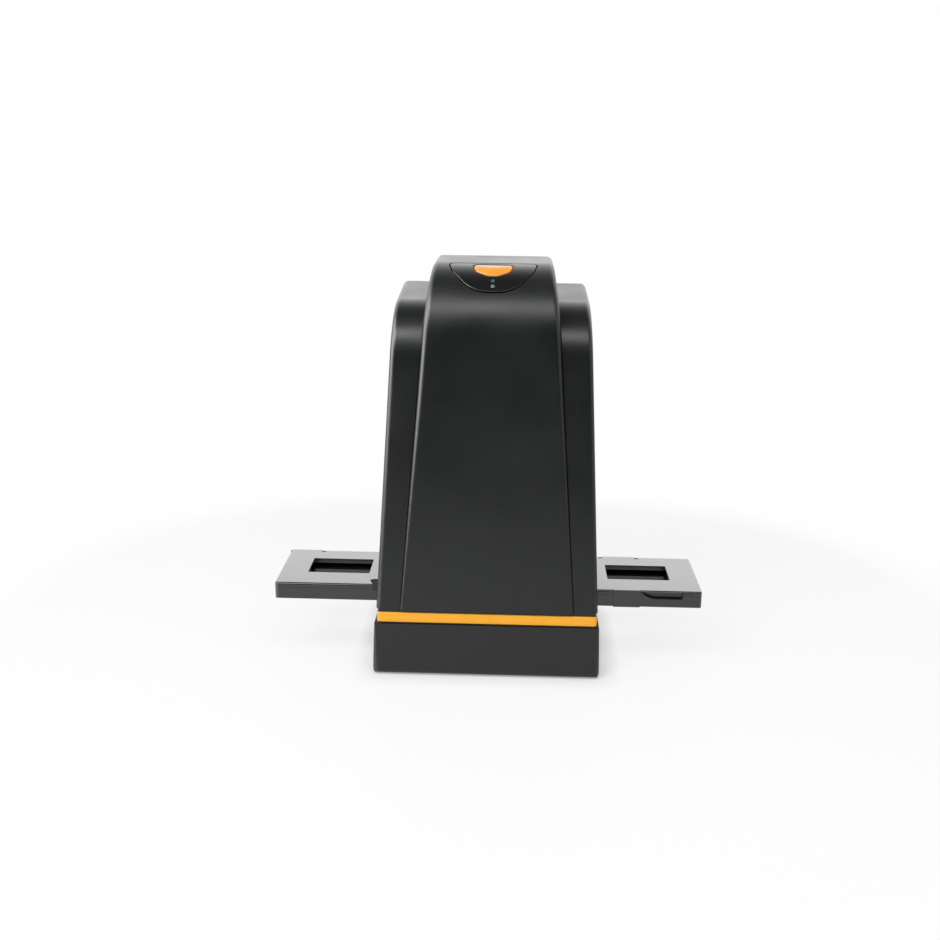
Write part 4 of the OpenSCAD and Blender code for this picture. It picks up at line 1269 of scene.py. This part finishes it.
@dataclass
class ButtonPanel:
    """The sunk button panel on the tower's brow, with its scan button, light window and mark."""

    sizes: Sizes
    half_w: float = 22.4
    length: float = 25.2
    tilt: float = 28.0
    gap: float = 0.6
    crisp: float = 0.45
    wall_depth: float = 2.6
    top_r: float = 3.0
    bottom_x: float = 2.7
    bottom_r: float = 16.0
    flank: Triple = (14.6, 4.0, 6.5)
    button_tilt: float = 23.5
    button_half_w: float = 10.0
    button_l: float = 10.9
    button_y: float = 1.05
    button_corner: float = 2.4
    bowl_x: float = 1.2
    bowl_flank: Triple = (5.3, 2.0, 4.0)
    button_gap: float = 0.5
    top_gap: float = 0.9
    button_proud: float = 1.1
    crown: float = 0.9
    button_edge: float = 0.55
    flange: float = 0.6
    flange_span: Pair = (-3.2, -2.4)
    well_depth: float = 3.0
    light_depth: float = 1.5
    channel: Pair = (-0.4, 1.6)  # from under the panel's edge to past the opening's
    led_tilt: float = 37.5
    led_r: float = 0.95
    led_crisp: float = 0.15
    mark_tilt: float = 43.5
    mark_r: float = 0.8
    mark_w: float = 0.22
    mark_gap: float = 38.0  # half the ring's opening, in degrees
    mark_stroke: Pair = (0.1, 1.05)
    ink: float = 0.015

    @property
    def plan(self) -> CurvedPlan:
        """The panel's plan on the cover's curve."""
        return CurvedPlan(self.sizes.cover, self.sizes.cover_r, self.tilt)

    @property
    def button_plan(self) -> CurvedPlan:
        """The button's plan on the same curve."""
        return CurvedPlan(self.sizes.cover, self.sizes.cover_r, self.button_tilt)

    def below(self, tilt: float, start: float) -> float:
        """Gives the plan height at which the curve tilts so, in a plan that starts elsewhere."""
        return -self.sizes.cover_r * math.sin(math.radians(tilt - start))

    def panel_loop(self, grow: float) -> Loop:
        """Draws the panel's edge in its plan: wide at the top, round at the bottom.

        Args:
            grow: How far the loop stands off the panel.

        Returns:
            The loop's points.
        """
        bottom = (self.bottom_x, self.bottom_r - self.length / 2, self.bottom_r)
        corner = (self.half_w - self.top_r, self.length / 2 - self.top_r, self.top_r)
        return densify(belt_loop(both_sides([bottom, self.flank, corner]), grow, 6), 2.0)

    def button_loop(self, grow: float, lift: float = 0.0) -> Loop:
        """Draws the button's edge in its plan: a flat top, round corners and a bowl below.

        Args:
            grow: How far the loop stands off the button.
            lift: How much further it does so at the top.

        Returns:
            The loop's points.
        """
        y, half, r = self.button_y, self.button_l / 2, self.button_corner
        corner = (self.button_half_w - r, y + half - r + lift, r)
        discs = both_sides([(self.bowl_x, y, half), self.bowl_flank, corner])
        return densify(belt_loop(discs, grow, 6), 1.0)

    def light_loop(self, grow: float) -> Loop:
        """Draws the light window's edge, in the button's plan.

        Args:
            grow: How far the loop stands off the window.

        Returns:
            The loop's points.
        """
        r, down = self.led_r + grow, self.below(self.led_tilt, self.button_tilt)
        turns = [2 * math.pi * k / 20 for k in range(20)]
        ring = [(math.cos(turn), math.sin(turn)) for turn in turns]
        return [(cos * r, down + sin * r, cos, sin) for cos, sin in ring]

    def opening(self, grow: float) -> list[Pair]:
        """Edge of the cover's opening, as distances across and along."""
        return self.plan.sheets(self.panel_loop(self.gap + grow))

    def opening_edge(self) -> Edge:
        """The opening's sharp edge, for rim."""
        return self.plan.edge(self.panel_loop(self.gap))

    def build_panel(self) -> Piece:
        """Builds the panel with its rolled edges and the dark channel round it.

        Returns:
            The panel.
        """
        skin, shape = Skin(), self.sizes.cover
        plan, under = self.plan, self.button_plan
        border = plan.sheets(self.panel_loop(-self.crisp))
        holes = [
            under.sheets(self.button_loop(self.button_gap + self.crisp, self.top_gap)),
            under.sheets(self.light_loop(self.led_crisp)),
        ]
        low, high = min(p[1] for p in border), max(p[1] for p in border)
        stations = shape.stations(low + 0.5, high - 0.5)
        apart = 1.6
        seeds = [(x * apart, at.along) for at in stations for x in range(-14, 15)]
        pierced_sheet(skin, shape, border, seeds, holes)
        skin.grid(rim(plan.edge(self.panel_loop(0), -1), self.crisp, self.wall_depth))
        well = under.edge(self.button_loop(self.button_gap, self.top_gap))
        skin.grid(rim(well, self.crisp, self.well_depth))
        skin.grid(rim(under.edge(self.light_loop(0)), self.led_crisp, self.light_depth))
        start, end = self.channel
        skin.grid(
            [
                [plan.spot(x, y, -self.sizes.wall - 0.05) for x, y, _, _ in loop + loop[:1]]
                for loop in (self.panel_loop(start), self.panel_loop(self.gap + end))
            ]
        )
        piece = skin.build("button_panel_shell", BLACK_PANEL)
        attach(piece, "tower")
        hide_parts("button_panel")
        return piece

    def button_rings(self) -> list[list[Vector]]:
        """Draws the button as rings, from its flange up to near its tip.

        Returns:
            The rings' points, in order.
        """
        loop, side_h, edge_r = self.button_loop(0), self.button_proud - self.crown, self.button_edge
        flange, (foot, top) = self.button_gap + self.flange, self.flange_span
        rings = [(1, foot, flange), (1, top, flange), (1, top, 0)]
        for k in range(6):
            turn = math.pi / 2 * k / 5
            fall, draw = edge_r * (1 - math.sin(turn)), edge_r * (1 - math.cos(turn))
            rings.append((1, side_h - fall, -draw))
        for k in range(1, 12):
            part = 1 - k / 12
            rings.append((part, side_h + self.crown * (1 - part * part), -edge_r))
        return [
            [
                self.button_plan.spot((x + ox * grow) * part, (y + oy * grow) * part, lift)[0]
                for x, y, ox, oy in loop
            ]
            for part, lift, grow in rings
        ]

    def build_button(self) -> Piece:
        """Builds the domed scan button with its flange under the panel.

        Returns:
            The button.
        """
        mesh = bpy.data.meshes.new("scan_button_cap")
        work = bmesh.new()
        rings = [[work.verts.new(point * MM) for point in row] for row in self.button_rings()]
        count = len(rings[0])
        for lower, upper in zip(rings, rings[1:]):
            for i in range(count):
                j = (i + 1) % count
                work.faces.new((lower[i], lower[j], upper[j], upper[i]))
        tip = work.verts.new(self.button_plan.spot(0, 0, self.button_proud)[0] * MM)
        for i in range(count):
            work.faces.new((rings[-1][i], rings[-1][(i + 1) % count], tip))
        work.faces.new(rings[0][::-1])
        bmesh.ops.recalc_face_normals(work, faces=work.faces)
        for face in work.faces:
            face.smooth = True
        work.to_mesh(mesh)
        work.free()
        mesh.set_sharp_from_angle(angle=math.radians(50))
        piece = new_piece("scan_button_cap", mesh, ORANGE_BUTTON)
        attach(piece, "scan_key")
        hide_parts("scan_button")
        return piece

    def build_mark(self) -> Piece:
        """Prints a small generic power mark under the light: an open ring and a stroke.

        Returns:
            The mark.
        """
        skin, half = Skin(), self.mark_w / 2
        down = self.below(self.mark_tilt, self.tilt)
        start, sweep = 90 + self.mark_gap, 360 - 2 * self.mark_gap
        turns = [math.radians(start + sweep * k / 28) for k in range(29)]
        low, high = self.mark_stroke
        heights = [low + (high - low) * k / 4 for k in range(5)]
        for lines in (
            [
                [(math.cos(turn) * r, math.sin(turn) * r) for turn in turns]
                for r in (self.mark_r - half, self.mark_r + half)
            ],
            [[(x, y) for y in heights] for x in (-half, half)],
        ):
            skin.grid([[self.plan.spot(x, down + y, self.ink) for x, y in line] for line in lines])
        piece = skin.build("power_mark", PrintedInk())
        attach(piece, "tower")
        return piece

    def build(self) -> list[Piece]:
        """Builds the panel, the button and the mark."""
        return [self.build_panel(), self.build_button(), self.build_mark()]


@dataclass
class Base:
    """The base pan, the trim ring, and a dark strip in the gap above the trim that paints its
    shadow.
    """

    edge: float = 0.45
    trim_edge: float = 0.35
    trim_half: Pair = (59.05, 48.05)
    trim_r: float = 2.3
    trim_top: float = 36.1
    drawn_in: float = 0.5
    drawn_down: float = 1.1
    # the painted shadow strip in the gap above the trim: how far in from the trim it stands, its
    # corner, its reach in height
    painted_shadow_inset: float = 1.03
    painted_shadow_r: float = 1.2
    painted_shadow_span: Pair = (-1.6, 0.75)

    def draw_in(self, mesh: bpy.types.Mesh) -> None:
        """Sets the trim's face back a little, so that dark lines show above and below it.

        Args:
            mesh: The trim's mesh.
        """
        for vertex in mesh.vertices:
            place = vertex.co / MM
            past = (
                max(0, abs(place.x) - self.trim_half[0] + self.trim_r),
                max(0, abs(place.y) - self.trim_half[1] + self.trim_r),
            )
            way = Vector(past)
            if way.length > self.trim_r - 0.3:
                inward = way.normalized() * self.drawn_in * MM
                vertex.co.x -= math.copysign(inward.x, place.x)
                vertex.co.y -= math.copysign(inward.y, place.y)
            if abs(place.z - self.trim_top) < 0.05:
                vertex.co.z -= self.drawn_down * MM

    def painted_shadow(self) -> Piece:
        """Builds a dark strip: a painted shadow in the gap above the trim, where there is only
        shade.

        Returns:
            The painted shadow strip.
        """
        # painted shadow: a black strip stands in the gap above the trim, where the real lip is
        # orange in shade
        half = (self.trim_half[0] - self.painted_shadow_inset, self.trim_half[1] - self.painted_shadow_inset)
        loop = box_loop(half, self.painted_shadow_r)
        skin = Skin()
        skin.grid(
            [
                [(Vector((x, y, z)), Vector((ox, oy, 0))) for x, y, ox, oy in loop + loop[:1]]
                for z in (self.trim_top + reach for reach in self.painted_shadow_span)
            ]
        )
        piece = skin.build("painted_shadow_strip", BLACK_BASE)
        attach(piece, "tower")
        return piece

    def build(self) -> list[Piece]:
        """Rounds the base's edges and dresses it.

        Returns:
            The pan, the trim and the painted shadow strip.
        """
        pan = softened("base_pan", "base_pan_shell", BLACK_BASE, self.edge)
        trim = softened("trim_ring", "trim_band", ORANGE_TRIM, self.trim_edge)
        self.draw_in(trim.data)
        for piece, slot in ((pan, "casing_black"), (trim, "trim_orange")):
            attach(piece, "tower")
        return [pan, trim, self.painted_shadow()]


@dataclass
class SlideHolder:
    """The slide holder's base and its hinged, windowed lid."""

    edge: float = 0.3
    sharp: float = 20.0

    def build(self) -> list[Piece]:
        """Rounds the holder's edges and dresses it.

        Returns:
            The base and the lid.
        """
        made = []
        for node, name in (("holder_base", "holder_tray"), ("holder_lid", "holder_cover")):
            piece = softened(node, name, BLACK_HOLDER, self.edge, self.sharp)
            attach(piece, "slide_holder")
            made.append(piece)
        return made


@dataclass
class Innards:
    """The parts inside, which keep their solids and get their finishes."""

    def build(self) -> list[Piece]:
        """Dresses each inner solid.

        Returns:
            The solids.
        """
        dress: dict[Finish, str] = {
            NitrileRubber(): "rubber_feet",
            ZINC: "base_screws button_board_screws gate_screws tunnel_screws sensor_screws"
            " board_screws usb_socket",
            SPRING: "detent_spring",
            LIGHT_PIPE: "led_window",
            LED_WHITE: "power_led backlight_leds",
            SolderMask(): "button_board sensor_board main_board",
            WHITE_REFLECTOR: "backlight_housing backlight_board",
            OpalAcrylic(): "diffuser_plate",
            BLACK_INNER: "film_gate light_tunnel lens_holder",
            BLACK_BARREL: "lens_barrel",
            LENS_GLASS: "lens_elements",
            SENSOR_GLASS: "image_sensor",
            CHIP_BLACK: "board_chips tact_switch",
            PLUNGER_WHITE: "switch_plunger",
            PolyimideFilm(): "sensor_ribbon backlight_ribbon",
        }
        made = []
        for finish, nodes in dress.items():
            for node in nodes.split():
                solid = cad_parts[node]
                solid.data.materials.clear()
                solid.data.materials.append(finish.material())
                made.append(solid)
        return made


# ---- Studio ----


@dataclass(frozen=True)
class Softbox:
    """A flat studio light: where it hangs, what it faces, its size and its power in watts."""

    name: str
    place: Triple
    aim: Triple
    size: Pair
    power: float
    gloss_only: bool = False

    def hang(self) -> None:
        """Makes the light and turns it to what it faces."""
        lamp = bpy.data.lights.new(self.name, "AREA")
        lamp.shape = "RECTANGLE"
        lamp.size, lamp.size_y = self.size[0] * MM, self.size[1] * MM
        lamp.energy = self.power
        holder = placed(self.name, lamp)
        holder.location = Vector(self.place) * MM
        toward = Vector(self.aim) - Vector(self.place)
        holder.rotation_mode = "QUATERNION"
        holder.rotation_quaternion = toward.to_track_quat("-Z", "Y")
        holder.visible_diffuse = not self.gloss_only


@dataclass
class Studio:
    """Camera, lights, floor and surroundings."""

    eye: Triple = (10.07, -665.69, 282.61)
    pitch: float = 0.2654
    yaw: float = -0.0321
    roll: float = 0.0127
    lens: float = 47.752
    lights: tuple[Softbox, ...] = (
        Softbox("key_softbox", (-420, -560, 640), (0, 0, 110), (420, 420), 3.0),
        Softbox("brow_softbox", (0, -475, 655), (0, -30, 195), (900, 230), 2.6),
        Softbox("left_wall", (-560, -170, 350), (0, -20, 120), (560, 700), 10.2, True),
        Softbox("right_wall", (560, -120, 350), (0, -20, 120), (420, 700), 0.6, True),
        Softbox("right_fill", (640, -420, 380), (0, 0, 120), (300, 400), 0.35),
    )
    room_light: float = 0.4
    floor_reach: float = 6.0
    floor_front: float = -0.45
    contact_shade_foot: Triple = (0.06, 0.049, 0.0)  # half the base's foot, from which the paper's painted contact shade is measured

    def camera(self) -> None:
        """Sets up the camera. Its pitch, yaw and roll are in radians."""
        cos, sin = math.cos(self.pitch), math.sin(self.pitch)
        forward = Vector((math.sin(self.yaw) * cos, math.cos(self.yaw) * cos, -sin))
        level = Vector((math.cos(self.yaw), -math.sin(self.yaw), 0))
        up = level.cross(forward)
        right = level * math.cos(self.roll) + up * math.sin(self.roll)
        top = up * math.cos(self.roll) - level * math.sin(self.roll)
        data = bpy.data.cameras.new("camera")
        data.lens, data.sensor_width = self.lens, 36
        data.clip_start, data.clip_end = 0.01, 20
        holder = placed("camera", data)
        turn = Matrix((right, top, -forward)).transposed().to_4x4()
        holder.matrix_world = Matrix.Translation(Vector(self.eye) * MM) @ turn
        bpy.context.scene.camera = holder

    def surroundings(self) -> None:
        """Makes a white room, bright behind the object and dimmer in front of it."""
        world = bpy.data.worlds.new("studio")
        bpy.context.scene.world = world
        world.use_nodes = True
        tree = world.node_tree
        tree.nodes.clear()
        way = add_node(tree, "TexCoord").outputs["Generated"]
        split = add_node(tree, "SeparateXYZ", {"Vector": way})
        behind, low, haze, ceiling = (
            add_node(
                tree,
                "MapRange",
                dict(zip(RANGE, (split.outputs[axis], *reach))),
                interpolation_type=kind,
            )
            for axis, kind, *reach in (
                ("Y", "SMOOTHSTEP", 0.05, 0.45, 0.0, 2.0),
                ("Z", "SMOOTHSTEP", 0.5, 1.0, 1.0, 0.0),
                ("Z", "LINEAR", 0.0, 0.25, 0.78, 1.0),
                ("Z", "LINEAR", 0.4, 0.9, 0.0, 0.1),
            )
        )
        band = add_node(tree, "Math", {0: low, 1: haze}, operation="MULTIPLY")
        sweep = {0: behind, 1: band, 2: ceiling}
        sweep = add_node(tree, "Math", sweep, operation="MULTIPLY_ADD")
        room, mirror, seen = (
            add_node(tree, "Background", {"Color": (1, 1, 1, 1), "Strength": strength})
            for strength in (self.room_light, sweep, 1.0)
        )
        path = add_node(tree, "LightPath").outputs
        first = add_node(tree, "MixShader", {0: path["Is Glossy Ray"], 1: room, 2: mirror})
        clear = {0: path["Is Camera Ray"], 1: path["Is Transmission Ray"]}
        clear = add_node(tree, "Math", clear, operation="MAXIMUM")
        last = add_node(tree, "MixShader", {0: clear, 1: first, 2: seen})
        add_node(tree, "OutputWorld", {"Surface": last})

    def paper(self) -> bpy.types.Material:
        """Makes the floor's paper, which the camera sees go to white away from the object, with a
        painted contact shade close round the base's foot, where less white lift comes in and the
        real shadow shows stronger.

        Returns:
            The material.
        """
        skin = bpy.data.materials.new("studio_paper")
        skin.use_nodes = True
        tree = skin.node_tree
        tree.nodes.clear()
        place = add_node(tree, "TexCoord").outputs["Object"]
        fibre = add_node(tree, "TexNoise", {"Vector": place, "Scale": per_mm(1.5), "Detail": 3.0})
        tone = {0: fibre, 6: linear("#f3f3f3"), 7: linear("#f7f7f7")}
        tone = add_node(tree, "Mix", tone, data_type="RGBA")
        body = {"Base Color": tone, "Roughness": 0.5, "Specular IOR Level": 0.3}
        body = add_node(tree, "BsdfPrincipled", body)
        lift = add_node(tree, "Emission", {"Color": (1, 1, 1, 1), "Strength": 1.0})
        past = add_node(tree, "VectorMath", {0: place}, operation="ABSOLUTE")
        for value, operation in ((self.contact_shade_foot, "SUBTRACT"), ((0, 0, 0), "MAXIMUM")):
            past = add_node(tree, "VectorMath", {0: past, 1: value}, operation=operation)
        away = add_node(tree, "VectorMath", {0: past}, operation="LENGTH").outputs["Value"]
        # painted contact shade: within 14 mm of the base's foot the white lift falls to 0.3, so the
        # paper reads darker there on top of its real shadow
        painted_contact_shade = add_node(tree, "MapRange", dict(zip(RANGE, (away, 0.0, 0.014, 0.3, 0.8))))
        reach = {"Value": away, "From Min": 0.05, "From Max": 0.28, "To Max": 1.0}
        fade = add_node(tree, "MapRange", reach, interpolation_type="SMOOTHSTEP")
        fade = add_node(tree, "Math", {0: painted_contact_shade, 1: fade}, operation="MAXIMUM")
        seen = add_node(tree, "LightPath").outputs["Is Camera Ray"]
        share = add_node(tree, "Math", {0: seen, 1: fade}, operation="MULTIPLY")
        mix = add_node(tree, "MixShader", {0: share, 1: body, 2: lift})
        add_node(tree, "OutputMaterial", {"Surface": mix})
        return skin

    def floor(self) -> None:
        """Lays a pale floor that keeps the object's shadow."""
        mesh = bpy.data.meshes.new("floor")
        reach, front = self.floor_reach, self.floor_front
        corners = [(-reach, front, 0), (reach, front, 0), (reach, reach, 0), (-reach, reach, 0)]
        mesh.from_pydata(corners, [], [(0, 1, 2, 3)])
        mesh.materials.append(self.paper())
        floor = placed("floor", mesh)

    def build(self) -> None:
        """Sets up the whole studio."""
        bpy.context.scene.view_settings.view_transform = "Standard"
        self.camera()
        self.surroundings()
        self.floor()
        for light in self.lights:
            light.hang()


def main() -> None:
    """Builds the studio and the object's parts."""
    logging.basicConfig(level=logging.INFO, format="%(message)s")
    Studio().build()
    sizes = Sizes()
    panel = ButtonPanel(sizes)
    pieces = [SideCasing(hand, sizes).build() for hand in Hand]
    pieces += CentreCover(sizes, panel).build()
    pieces += panel.build()
    pieces += Base().build()
    pieces += SlideHolder().build()
    pieces += Innards().build()
    for piece in pieces:
        LOG.info("%s: %d faces", piece.name, len(piece.data.polygons))


if __name__ == "__main__":
    main()
